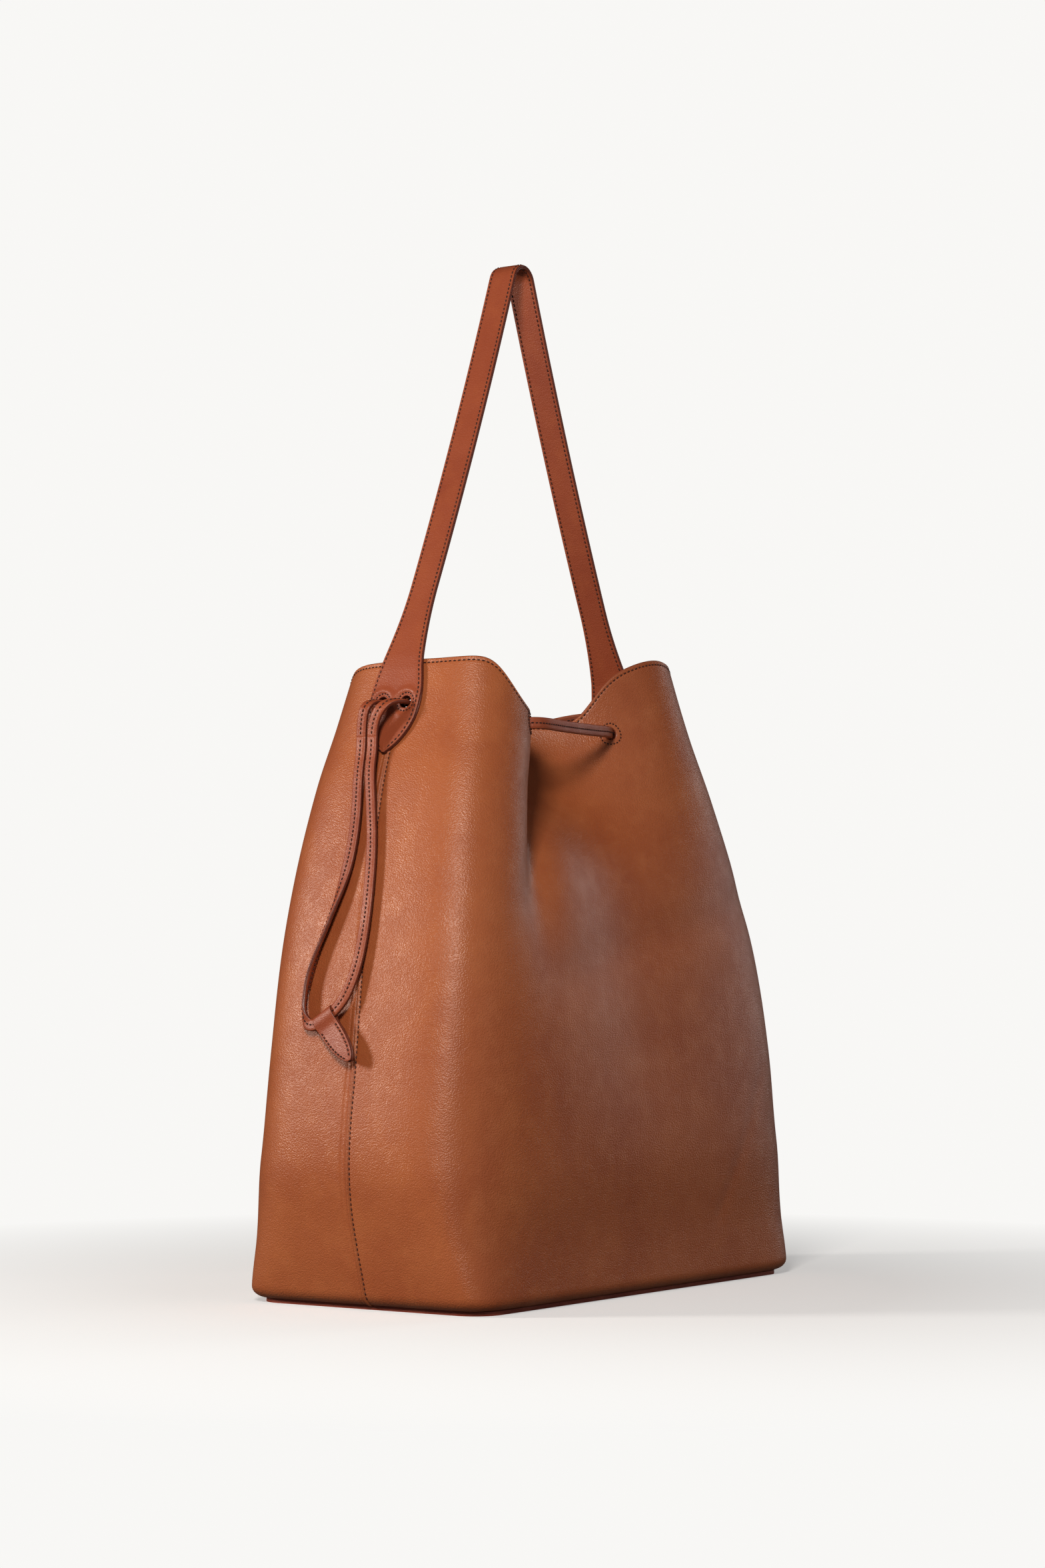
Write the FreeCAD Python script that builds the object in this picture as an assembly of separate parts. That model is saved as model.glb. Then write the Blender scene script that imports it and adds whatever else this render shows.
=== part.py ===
"""Leather bucket bag, in millimetres, +Z up, origin on the ground at the centre of its base.

The mouth is gathered by a flat leather drawstring: a valley at the front and one at the back leave a
round lobe over each end.  X runs along the wide front (the side seams are at -X and +X), -Y is the front.
The strap's two ends flare into leaf-shaped tabs sewn over the side seams.  Each tab has two holes, and the
drawstring comes out through them as a hanging loop that carries a leaf-shaped pull.
"""

import FreeCAD, Part
import math
import os

from FreeCAD import Vector

# ---------------------------------------------------------------- driving dimensions
BASE_HALF_WIDTH = 210.0
BASE_HALF_DEPTH = 102.0
BASE_CORNER_RADIUS = 22.0
RIM_HEIGHT = 470.0  # the mouth's edge at the side seams
TOP_SHIFT = (-9.0, 7.0)  # how far the mouth's middle lies from the base's
SEAM_SHIFT = 5.0  # the seams' extra lean towards the back at the mouth
LEAN_STARTS = 150.0

# The wall's horizontal sections by height: half width, half depth, squareness (a superellipse's exponent).
SECTIONS = [
    (0.0, 219.0, 111.0, 14.0),
    (45.0, 227.5, 109.0, 8.0),
    (105.0, 235.0, 111.5, 5.2),
    (180.0, 226.0, 108.0, 5.3),
    (250.0, 212.5, 104.0, 5.5),
    (310.0, 196.5, 100.0, 5.2),
    (376.0, 174.5, 95.0, 4.5),
    (424.0, 154.5, 91.0, 4.0),
    (500.0, 130.0, 82.0, 3.5),
]
# The front valley by height: depth of its broad hollow, then depth, middle and decay of its fold.
FRONT_VALLEY = [
    (0.0, 0.0, 0.0, -125.0, 30.0),
    (105.0, 1.0, 0.0, -125.0, 30.0),
    (180.0, 5.0, 0.0, -125.0, 30.0),
    (250.0, 10.0, 4.0, -122.0, 26.0),
    (310.0, 20.0, 18.0, -104.0, 19.0),
    (376.0, 48.0, 38.0, -53.0, 22.5),
    (424.0, 51.5, 42.5, -11.0, 23.0),
    (500.0, 42.5, 41.5, -7.0, 17.5),
]
BACK_VALLEY = [
    (0.0, 0.0, 0.0, 0.0, 66.0),
    (105.0, 1.0, 0.0, 0.0, 66.0),
    (180.0, 4.0, 2.0, 0.0, 60.0),
    (250.0, 8.0, 6.0, 0.0, 50.0),
    (310.0, 15.0, 13.0, 0.0, 40.0),
    (376.0, 26.0, 22.0, 0.0, 30.0),
    (424.0, 32.0, 28.0, 0.0, 26.0),
    (500.0, 34.0, 30.0, 0.0, 24.0),
]
HOLLOW_WIDTH = 70.0
HOLLOW_MIDDLE = -10.0
# The mouth's edge at the left and the right: rise over the lobe, dip, the dip's half width and exponent.
FRONT_RIM = ((10.0, 46.5, 113.0, 8.5), (21.5, 64.0, 46.5, 1.4))
BACK_RIM = ((0.0, 36.0, 118.0, 8.0), (0.0, 38.5, 152.0, 5.0))
RIM_FADE = 30.0  # a dip that reaches an end wall dies out over this distance from the end's middle

WALL = 2.4  # body leather
FACING = 1.2  # lining strip inside the mouth
FACING_HEIGHT = 78.0
GAP = 0.2  # clearance between pieces that are sewn together
TAB_GAP = 0.4
FACING_GAP = 0.5
TUCK_RADIUS = 9.0  # the wall's bottom edge curls in over the base
SEAM_GAP = 0.2

BASE_LEATHER = 3.0
INSOLE = 1.6
WALL_FOOT = BASE_LEATHER + GAP

HOLE_RADIUS = 5.0
EYELET_Z = 424.0
FRONT_EYELETS = (-84.0, 45.0)  # x from the mouth's middle
BACK_EYELETS = (-64.0, 64.0)

STRAP_HALF_WIDTH = 11.5
STRAP_OUTER = 1.6
STRAP_LINING = 1.4
STRAP_TOP = 788.0
STRAP_FOOT_Z = RIM_HEIGHT - 1.5  # the strap leaves the wall here
STRAP_BEND_RADIUS = 13.0  # centreline radius at the top of the strap
STRAP_TOP_ANGLE = 20.0  # the leg's lean from vertical below the bend
TAB_TIP_Z = 400.0
TAB_HALF_WIDTH = 22.5
TAB_WIDEST_Z = 440.0
TAB_HALF_WIDTH_AT_RIM = 17.5
FLARE_TOP_Z = 528.0
FOLD_Z = 500.0  # the strap folds forwards and back about this line
FOLD_GAP = 0.4
TAB_HOLE_Z = 437.0
TAB_HOLE_SPACING = 21.5

CORD_RADIUS = 2.6
SWING_Z = 412.0  # the hanging loop swings out about this line
SWING_GAP = 0.3  # between the hanging loop's rounded ends and the drawstring above
SLEEVE_HALF_LENGTH = 9.5
SLEEVE_BORE = 4.4
SLEEVE_RADIUS = 5.8
LEAF_HALF_WIDTH = 9.0
LEAF_LENGTH = 40.0
LEAF_THICKNESS = 3.0
LEAF_LEAN = 9.0  # degrees, following the wall's slope

COLUMNS = 128
PARTS = "parts"


# ---------------------------------------------------------------- the wall's shape
def smooth(t):
    t = min(1.0, max(0.0, t))
    return t * t * (3 - 2 * t)


def table_at(table, z):
    """A row of a table by height, on a Catmull-Rom curve through its rows."""
    last = len(table) - 2
    i = next((k for k in range(last) if z < table[k + 1][0]), last)
    near = [table[min(max(k, 0), last + 1)] for k in (i - 1, i, i + 1, i + 2)]
    span = near[2][0] - near[1][0]
    t = (z - near[1][0]) / span
    values = []
    for column in range(1, len(table[0])):
        before, a, b, after = (row[column] for row in near)
        slope_a = (b - before) * span / (near[2][0] - near[0][0])
        slope_b = (after - a) * span / (near[3][0] - near[1][0])
        values.append(
            a * (2 * t**3 - 3 * t**2 + 1)
            + slope_a * (t**3 - 2 * t**2 + t)
            + b * (3 * t**2 - 2 * t**3)
            + slope_b * (t**3 - t**2)
        )
    return values


def tuck(z):
    """How far the curled bottom edge is drawn in at a height."""
    rise = z - WALL_FOOT
    if rise >= TUCK_RADIUS:
        return 0.0
    return TUCK_RADIUS - math.sqrt(TUCK_RADIUS**2 - (TUCK_RADIUS - max(rise, 0.0)) ** 2)


def lean(z):
    """How much of the mouth's shift the wall has at a height."""
    return smooth((z - LEAN_STARTS) / (RIM_HEIGHT - LEAN_STARTS))


def valley(x, z, front):
    hollow, fold, middle, decay = table_at(FRONT_VALLEY if front else BACK_VALLEY, z)
    rounding = 0.75 * decay
    away = math.hypot(x - middle, rounding) - rounding
    broad = hollow * math.exp(-(((x - HOLLOW_MIDDLE) / HOLLOW_WIDTH) ** 2))
    return broad + fold * math.exp(-away / decay)


def wall_at(angle, z):
    """The outer surface of the wall at a polar angle round the bag and a height."""
    half_width, half_depth, power = table_at(SECTIONS, z)
    half_width -= tuck(z)
    half_depth -= tuck(z)
    c, s = math.cos(angle), math.sin(angle)
    radius = (abs(c / half_width) ** power + abs(s / half_depth) ** power) ** (-1 / power)
    x, y = radius * c, radius * s
    pull = valley(x, z, y < 0) * smooth(abs(y) / (0.6 * half_depth))
    shift = lean(z)
    return Vector(x + TOP_SHIFT[0] * shift, y + (pull if y < 0 else -pull) + TOP_SHIFT[1] * shift, z)


def wall_normal(angle, z):
    step = 1e-3
    along = wall_at(angle + step, z) - wall_at(angle - step, z)
    up = wall_at(angle, z + 0.5) - wall_at(angle, z - 0.5 if z > WALL_FOOT + 0.5 else z)
    normal = along.cross(up)
    normal.normalize()
    return normal


def wall_offset(angle, z, inwards):
    return wall_at(angle, z) - wall_normal(angle, z) * inwards


def rim_z(angle):
    """Height of the mouth's edge: it rises over the lobes and dips in each valley."""
    wall = wall_at(angle, RIM_HEIGHT)
    x = wall.x - TOP_SHIFT[0]
    share = smooth((x + 60.0) / 120.0)
    left, right = FRONT_RIM if math.sin(angle) < 0 else BACK_RIM
    rise, dip, half_width, power = (a + (b - a) * share for a, b in zip(left, right))
    out = min(abs(x) / table_at(SECTIONS, RIM_HEIGHT)[0], 1.0)
    fade = max(1 - out**8, smooth(abs(wall.y - TOP_SHIFT[1]) / RIM_FADE))
    dip *= fade * math.exp(-((abs(x) / half_width) ** power))
    return RIM_HEIGHT + rise * (1 - out**4) - dip


def angle_of_long_side(x, z, front):
    """The polar angle of the point at x from the mouth's middle on the front or back wall."""
    half_width, half_depth, power = table_at(SECTIONS, z)
    y = half_depth * (1 - abs(x / half_width) ** power) ** (1 / power)
    return math.atan2(-y if front else y, x) % (2 * math.pi)


def angle_of_end(y, z, side):
    """The polar angle of the point at y on the left (side -1) or right (side 1) end wall."""
    half_width, half_depth, power = table_at(SECTIONS, z)
    across = y - TOP_SHIFT[1] * lean(z)
    x = half_width * (1 - abs(across / half_depth) ** power) ** (1 / power)
    return math.atan2(across, side * x) % (2 * math.pi)


def seam_y(z):
    return (TOP_SHIFT[1] + SEAM_SHIFT) * lean(z)


# ---------------------------------------------------------------- solids
def sheet_solid(outer, inner):
    """A closed solid between two grids of points, with ruled edges."""
    surfaces = []
    for rows in (outer, inner):
        surface = Part.BSplineSurface()
        surface.interpolate(rows)
        surfaces.append(surface)
    faces = [surface.toShape() for surface in surfaces]
    u0, u1, v0, v1 = surfaces[0].bounds()
    w0, w1, x0, x1 = surfaces[1].bounds()
    for a, b in ((u0, w0), (u1, w1)):
        pair = [surfaces[0].uIso(a).toShape(), surfaces[1].uIso(b).toShape()]
        faces.append(Part.makeRuledSurface(*pair))
    for a, b in ((v0, x0), (v1, x1)):
        pair = [surfaces[0].vIso(a).toShape(), surfaces[1].vIso(b).toShape()]
        faces.append(Part.makeRuledSurface(*pair))
    shell = Part.makeShell(faces)
    shell.sewShape()
    solid = Part.makeSolid(shell)
    if solid.Volume < 0:
        solid.reverse()
    return solid


def prism_along_x(outline, x_from, x_to):
    """A prism of a closed outline drawn in (y, z)."""
    face = Part.Face(Part.Wire(outline))
    face.translate(Vector(x_from, 0, 0))
    return face.extrude(Vector(x_to - x_from, 0, 0))


def bezier(*poles):
    curve = Part.BezierCurve()
    curve.setPoles(list(poles))
    return curve.toShape()


def line(a, b):
    return Part.LineSegment(a, b).toShape()


def rounded_plate(half_width, half_depth, corner, z, thickness):
    box = Part.makeBox(
        2 * half_width, 2 * half_depth, thickness, Vector(-half_width, -half_depth, z)
    )
    upright = [e for e in box.Edges if abs(e.Vertexes[0].Z - e.Vertexes[1].Z) > thickness / 2]
    return box.makeFillet(corner, upright)


def cylinder(centre, direction, radius, reach):
    """A cylinder through centre, reaching the same way along direction on both sides."""
    return Part.makeCylinder(radius, 2 * reach, centre - direction * reach, direction)


# ---------------------------------------------------------------- body
def panel_angles(front, z):
    """Polar angles of a panel's columns at a height, from one side seam to the other."""
    start = math.pi if front else 0.0
    edge = SEAM_GAP / 2 / table_at(SECTIONS, z)[0]
    turns = [start + edge + (math.pi - 2 * edge) * k / COLUMNS for k in range(COLUMNS + 1)]
    swing = SEAM_SHIFT * lean(z) / table_at(SECTIONS, z)[0]
    return [turn + swing * math.cos(turn) for turn in turns]


def wall_shares():
    """Shares of the way from the wall's foot to its rim, closer together round the curled edge."""
    steps = [1.2, 1.6, 2.2, 3.0, 4.0, 5.5, 8.0, 11.0, 14.0] + [16.0] * 26
    total = sum(steps)
    shares = [0.0]
    for step in steps:
        shares.append(shares[-1] + step / total)
    shares[-1] = 1.0
    return shares


def panel(front, depth, thickness):
    """A layer of the wall, depth inside its outer surface, from its foot up to the rim."""
    shares = wall_shares()
    outer, inner = [], []
    for k, rim_angle in enumerate(panel_angles(front, RIM_HEIGHT)):
        top = rim_z(rim_angle)
        heights = [WALL_FOOT + s * (top - WALL_FOOT) for s in shares]
        angles = [panel_angles(front, z)[k] for z in heights]
        outer.append([wall_offset(a, z, depth) for a, z in zip(angles, heights)])
        inner.append([wall_offset(a, z, depth + thickness) for a, z in zip(angles, heights)])
    return sheet_solid(outer, inner)


def eyelet(front, side):
    """Centre and outward direction of the eyelet on a valley's left (side -1) or right (side 1)."""
    x = (FRONT_EYELETS if front else BACK_EYELETS)[0 if side < 0 else 1]
    angle = angle_of_long_side(x, EYELET_Z, front)
    return wall_at(angle, EYELET_Z), wall_normal(angle, EYELET_Z)


def tab_hole(front, side):
    """Centre and outward direction of a hole in the left or right tab."""
    across = -TAB_HOLE_SPACING / 2 if front else TAB_HOLE_SPACING / 2
    angle = angle_of_end(seam_y(TAB_HOLE_Z) + across, TAB_HOLE_Z, side)
    return wall_at(angle, TAB_HOLE_Z), wall_normal(angle, TAB_HOLE_Z)


def hole_cutters():
    cutters = []
    for front in (True, False):
        for side in (-1, 1):
            for hole in (eyelet(front, side), tab_hole(front, side)):
                cutters.append(cylinder(hole[0], hole[1], HOLE_RADIUS, 12.0))
    return cutters


def body_parts():
    cutters = hole_cutters()
    facing_from = Vector(-300, -150, RIM_HEIGHT - FACING_HEIGHT)
    facing_space = Part.makeBox(600, 300, 2 * FACING_HEIGHT, facing_from)
    parts = {}
    for name, front in (("front", True), ("back", False)):
        parts[name + "_panel"] = panel(front, 0.0, WALL).cut(cutters)
        layer = panel(front, WALL + FACING_GAP, FACING)
        parts[name + "_facing"] = layer.common(facing_space).cut(cutters)
    return parts


def base_parts():
    inset = WALL + TUCK_RADIUS
    return {
        "base_panel": rounded_plate(
            BASE_HALF_WIDTH, BASE_HALF_DEPTH, BASE_CORNER_RADIUS, 0.0, BASE_LEATHER
        ),
        "base_insole": rounded_plate(
            BASE_HALF_WIDTH - inset,
            BASE_HALF_DEPTH - inset,
            BASE_CORNER_RADIUS - 6.0,
            BASE_LEATHER + GAP,
            INSOLE,
        ),
    }


# ---------------------------------------------------------------- strap
def strap_outline(bottom, top):
    """The strap's outline in (y, z) between two heights: leaf tip, tab, flare and even width."""
    y0 = seam_y(RIM_HEIGHT)

    def at(y, z):
        return Vector(0, y0 + y, z)

    right = [
        bezier(at(0, TAB_TIP_Z), at(13, 408), at(TAB_HALF_WIDTH, 422), at(TAB_HALF_WIDTH, TAB_WIDEST_Z)),
        bezier(
            at(TAB_HALF_WIDTH, TAB_WIDEST_Z),
            at(TAB_HALF_WIDTH, TAB_WIDEST_Z + 12),
            at(TAB_HALF_WIDTH_AT_RIM + 1.8, RIM_HEIGHT - 9),
            at(TAB_HALF_WIDTH_AT_RIM, RIM_HEIGHT),
        ),
        bezier(
            at(TAB_HALF_WIDTH_AT_RIM, RIM_HEIGHT),
            at(TAB_HALF_WIDTH_AT_RIM - 3.2, RIM_HEIGHT + 16),
            at(STRAP_HALF_WIDTH, FLARE_TOP_Z - 22),
            at(STRAP_HALF_WIDTH, FLARE_TOP_Z),
        ),
        line(at(STRAP_HALF_WIDTH, FLARE_TOP_Z), at(STRAP_HALF_WIDTH, STRAP_TOP + 20)),
    ]
    left = [e.mirror(Vector(0, y0, 0), Vector(0, 1, 0)) for e in reversed(right)]
    lid = line(at(STRAP_HALF_WIDTH, STRAP_TOP + 20), at(-STRAP_HALF_WIDTH, STRAP_TOP + 20))
    whole = prism_along_x(right + [lid] + left, -220.0, 220.0)
    window = Part.makeBox(440, 200, top - bottom, Vector(-220, y0 - 100, bottom))
    return whole.common(window)


def strap_leg_start():
    """Where the strap's centreline leaves the end wall, as its distance from the strap's middle and height."""
    half_width = table_at(SECTIONS, STRAP_FOOT_Z)[0]
    slope = half_width - table_at(SECTIONS, STRAP_FOOT_Z + 1)[0]
    out = TAB_GAP + (STRAP_OUTER + STRAP_LINING) / 2
    return half_width + out * math.hypot(1, slope), STRAP_FOOT_Z


def strap_strip(inside, outside):
    """The strap above the rim as a strip in (x, z), between two offsets from its centreline."""
    x0, z0 = strap_leg_start()
    tilt = math.radians(STRAP_TOP_ANGLE)
    bend = STRAP_BEND_RADIUS
    bend_z = STRAP_TOP - (STRAP_OUTER + STRAP_LINING) / 2 - bend
    x1, z1 = bend * math.cos(tilt), bend_z + bend * math.sin(tilt)
    # The leg is one long arc that ends tangent to the bend, bowed towards the inside of the strap.
    chord = math.hypot(x0 - x1, z1 - z0)
    chord_tilt = math.atan2(x0 - x1, z1 - z0)
    leg_radius = chord / 2 / math.sin(chord_tilt - tilt)
    centre = (x1 + leg_radius * math.cos(tilt), z1 + leg_radius * math.sin(tilt))

    def leg(offset, sign):
        reach = leg_radius - offset
        low = tilt + 2 * (chord_tilt - tilt)
        points = []
        for turn in (low, chord_tilt, tilt):
            x = centre[0] - reach * math.cos(turn)
            points.append(Vector(sign * x, 0, centre[1] - reach * math.sin(turn)))
        return points

    def side(offset):
        right, left = leg(offset, 1), leg(offset, -1)
        top = Vector(0, 0, bend_z + bend + offset)
        edges = [
            Part.Arc(*right).toShape(),
            Part.Arc(right[2], top, left[2]).toShape(),
            Part.Arc(*reversed(left)).toShape(),
        ]
        return edges, right[0], left[0]

    outer, outer_right, outer_left = side(outside)
    inner, inner_right, inner_left = side(inside)
    ends = [line(outer_left, inner_left), line(inner_right, outer_right)]
    face = Part.Face(Part.Wire(Part.__sortEdges__(outer + inner + ends)))
    face.translate(Vector(TOP_SHIFT[0], -60, 0))
    return face.extrude(Vector(0, 140, 0))


def tab_patch(depth, thickness, side):
    """A layer lying on an end wall, from below the tab's tip to just under the mouth's edge."""
    y_reach, steps = TAB_HALF_WIDTH + 4.0, 10
    z_from, z_to, rows = TAB_TIP_Z - 4.0, STRAP_FOOT_Z + 1.0, 14
    outer, inner = [], []
    for i in range(-steps, steps + 1):
        column_outer, column_inner = [], []
        for j in range(rows + 1):
            z = z_from + (z_to - z_from) * j / rows
            angle = angle_of_end(seam_y(z) + side * y_reach * i / steps, z, side)
            column_outer.append(wall_offset(angle, z, -depth - thickness))
            column_inner.append(wall_offset(angle, z, -depth))
        outer.append(column_outer)
        inner.append(column_inner)
    return sheet_solid(outer, inner)


def strap_parts(panels):
    """Outer leather and lining: a tab sewn on at each end, and the arch that folds between them."""
    half = (STRAP_OUTER + STRAP_LINING) / 2
    layers = {
        "lining": (TAB_GAP, STRAP_LINING, -half, -half + STRAP_LINING),
        "outer": (TAB_GAP + STRAP_LINING + GAP, STRAP_OUTER, -half + STRAP_LINING + GAP, half + GAP),
    }
    upright_top = FOLD_Z - STRAP_HALF_WIDTH - 1.5 - FOLD_GAP
    parts = {}
    for layer, (depth, thickness, inside, outside) in layers.items():
        strip = strap_strip(inside, outside)
        upright = strip.common(strap_outline(STRAP_FOOT_Z - 1.0, upright_top))
        for name, side in (("left", -1), ("right", 1)):
            cutters = []
            for centre, normal in (tab_hole(True, side), tab_hole(False, side)):
                cutters.append(cylinder(centre, normal, HOLE_RADIUS, 14.0))
            half_space = Part.makeBox(300, 300, 600, Vector(-300 if side < 0 else 0, -150, 300))
            tab = tab_patch(depth, thickness, side).common(strap_outline(0.0, RIM_HEIGHT + 5.0))
            tab = tab.cut(cutters).fuse(upright.common(half_space))
            under = [parts[f"{name}_tab_lining"]] if layer == "outer" else panels
            parts[f"{name}_tab_{layer}"] = tab.cut(under).removeSplitter()
        parts["strap_" + layer] = fold_end(strip.common(strap_outline(FOLD_Z, STRAP_TOP + 5)), strip)
    return parts


def fold_end(arch, strip):
    """The arch with each lower end rounded about the fold line, so that it clears the tab below."""
    radius = STRAP_HALF_WIDTH + 1.5
    middle = Vector(-220, seam_y(RIM_HEIGHT), FOLD_Z)
    round_end = Part.makeCylinder(radius, 440, middle, Vector(1, 0, 0))
    end = strip.common(round_end).common(strap_outline(FOLD_Z - 40, FOLD_Z))
    return arch.fuse(end).removeSplitter()


# ---------------------------------------------------------------- drawstring
def cord_path(points):
    """Straight runs joined by tangent arcs, each as large as its two runs allow. Prints the least radius."""
    edges, radii = [], []
    start = points[0]
    for before, corner, after in zip(points, points[1:], points[2:]):
        back, ahead = before - corner, after - corner
        run = min(back.Length, ahead.Length) * 0.45
        half_turn = (math.pi - back.getAngle(ahead)) / 2
        radii.append(run / math.tan(half_turn))
        back.normalize()
        ahead.normalize()
        enter, leave = corner + back * run, corner + ahead * run
        bisector = back + ahead
        bisector.normalize()
        middle = corner + bisector * (radii[-1] / math.cos(half_turn) - radii[-1])
        edges += [line(start, enter), Part.Arc(enter, middle, leave).toShape()]
        start = leave
    edges.append(line(start, points[-1]))
    return Part.Wire(edges), radii


def cord(name, points):
    path, radii = cord_path(points)
    along = points[1] - points[0]
    along.normalize()
    ring = Part.Wire(Part.makeCircle(CORD_RADIUS, points[0], along))
    solid = path.makePipeShell([ring], True, False)
    due = math.pi * CORD_RADIUS**2 * path.Length
    print(
        f"{name}: length {path.Length:.1f}, least radius {min(radii):.1f},"
        f" volume {solid.Volume:.0f} of {due:.0f}"
    )
    return solid


def beside_end(y, out, z, side):
    """A point at y and a height, standing a distance out from the left or right end wall."""
    angle = angle_of_end(y, z, side)
    return Vector(wall_at(angle, z).x + side * out, y, z)


# The loop outside a tab as (y, distance out from the wall, height): down the front strand to the pull's
# sleeve, and up the back strand.
FRONT_STRAND_Y = 18.5
BACK_STRAND_Y = 28.5
STRAND_OUT = 11.5
STRAND_DROP = 9.0  # straight down from the swing line
LOOP_DOWN = [
    (16.5, 7.0, 386.0),
    (10.5, 5.0, 362.0),
    (3.0, 4.5, 332.0),
    (-1.0, 4.5, 296.0),
    (-1.5, 4.5, 262.0),
    (2.0, 5.5, 236.0),
]
SLEEVE_MIDDLE = (22.0, 7.5, 207.0)
SLEEVE_TILT = 32.0
LOOP_UP = [
    (43.5, 6.0, 209.0),
    (45.0, 5.0, 228.0),
    (39.5, 4.5, 254.0),
    (29.5, 4.5, 282.0),
    (21.5, 4.5, 316.0),
    (21.5, 4.5, 350.0),
    (26.5, 7.0, 384.0),
]


def sleeve_axis():
    tilt = math.radians(SLEEVE_TILT)
    return Vector(0, math.cos(tilt), -math.sin(tilt))


def swing_point(y, side):
    """Where a strand crosses the line that the loop swings about."""
    middle = beside_end((FRONT_STRAND_Y + BACK_STRAND_Y) / 2, STRAND_OUT, SWING_Z, side)
    return Vector(middle.x, y, SWING_Z)


def loop_points(side):
    """The swinging part of the loop, from one strand's swing point round to the other's."""
    middle = beside_end(*SLEEVE_MIDDLE, side)
    reach = SLEEVE_HALF_LENGTH + 5.5
    drop = Vector(0, 0, -STRAND_DROP)
    front, back = swing_point(FRONT_STRAND_Y, side), swing_point(BACK_STRAND_Y, side)
    return [
        front,
        front + drop,
        *[beside_end(*point, side) for point in LOOP_DOWN],
        middle - sleeve_axis() * reach,
        middle + sleeve_axis() * reach,
        *[beside_end(*point, side) for point in LOOP_UP],
        back + drop,
        back,
    ]


def end_points(front, side):
    """A drawstring from just above the swing line, up and in through its tab hole, to an eyelet and out."""
    y = FRONT_STRAND_Y if front else BACK_STRAND_Y
    hole, out_of_hole = tab_hole(front, side)
    centre, out_of_eyelet = eyelet(front, side)
    foot = swing_point(y, side) + Vector(0, 0, CORD_RADIUS + SWING_GAP)
    over = hole + out_of_hole * 8.5
    inside = hole - out_of_hole * 12.0
    return [
        foot,
        foot + Vector(0, 0, 8.0),
        Vector(foot.x, 0.5 * (foot.y + over.y), hole.z - 1.0),
        over,
        inside,
        centre - out_of_eyelet * 10.0,
        centre + out_of_eyelet * 7.0,
    ]


def drawstring_points(front):
    left, right = end_points(front, -1), end_points(front, 1)
    start, end = left[-1], right[-1]
    out = Vector(0, -1.5 if front else 1.5, -1.0)
    span = [start + (end - start) * share + out for share in (0.28, 0.72)]
    return left + span + right[::-1]


def drawstring_parts():
    parts = {}
    for name, front in (("front_drawstring", True), ("back_drawstring", False)):
        parts[name] = cord(name, drawstring_points(front))
    for name, side in (("left", -1), ("right", 1)):
        points = loop_points(side)
        ends = [Part.makeSphere(CORD_RADIUS, points[0]), Part.makeSphere(CORD_RADIUS, points[-1])]
        loop = cord(name + "_drawstring_loop", points)
        parts[name + "_drawstring_loop"] = loop.fuse(ends).removeSplitter()
        parts[name + "_pull_tab"] = pull_tab(side)
    return parts


def pull_tab(side):
    """A strip of leather folded round the cord as a sleeve, whose two ends are sewn together as a leaf."""
    middle = beside_end(*SLEEVE_MIDDLE, side)
    axis = sleeve_axis()
    foot = middle - axis * SLEEVE_HALF_LENGTH
    sleeve = Part.makeCylinder(SLEEVE_RADIUS, 2 * SLEEVE_HALF_LENGTH, foot, axis)
    bore = Part.makeCylinder(SLEEVE_BORE, 2 * SLEEVE_HALF_LENGTH + 2, foot - axis, axis)
    out = math.radians(LEAF_LEAN)
    down = Vector(0, axis.z, -axis.y) * math.cos(out) + Vector(side * math.sin(out), 0, 0)
    through = axis.cross(down) * LEAF_THICKNESS

    def at(across, along):
        return middle + axis * across + down * along - through * 0.5

    outline = [
        line(at(-LEAF_HALF_WIDTH, 3.5), at(LEAF_HALF_WIDTH, 3.5)),
        bezier(at(LEAF_HALF_WIDTH, 3.5), at(11.0, 18.0), at(7.5, 33.0), at(0, LEAF_LENGTH)),
        bezier(at(0, LEAF_LENGTH), at(-7.5, 33.0), at(-11.0, 18.0), at(-LEAF_HALF_WIDTH, 3.5)),
    ]
    leaf = Part.Face(Part.Wire(outline)).extrude(through)
    return sleeve.fuse(leaf).cut(bore).removeSplitter()


# ---------------------------------------------------------------- export
def main():
    os.makedirs(PARTS, exist_ok=True)
    parts = {**body_parts(), **base_parts(), **drawstring_parts()}
    parts.update(strap_parts([parts["front_panel"], parts["back_panel"]]))
    for name, shape in parts.items():
        solids = shape.Solids
        if not shape.isValid() or not solids:
            print(f"{name}: valid {shape.isValid()}, solids {len(solids)}")
        whole = solids[0] if len(solids) == 1 else Part.makeCompound(solids)
        whole.exportStep(f"{PARTS}/{name}.step")
    print(len(parts), "parts")


main()
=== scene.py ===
"""Looks of the leather bucket bag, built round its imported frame.

Metres, +Z up, the front is -Y, and the side seams are at -X and +X.  The body, the lining strip, the strap
and the pulls are sheets of leather on their solids' surfaces, with rounded painted edges and real holes.
The drawstring is a flat cord along its solid's route, and all threads are laid stitch by stitch.
"""

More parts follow.
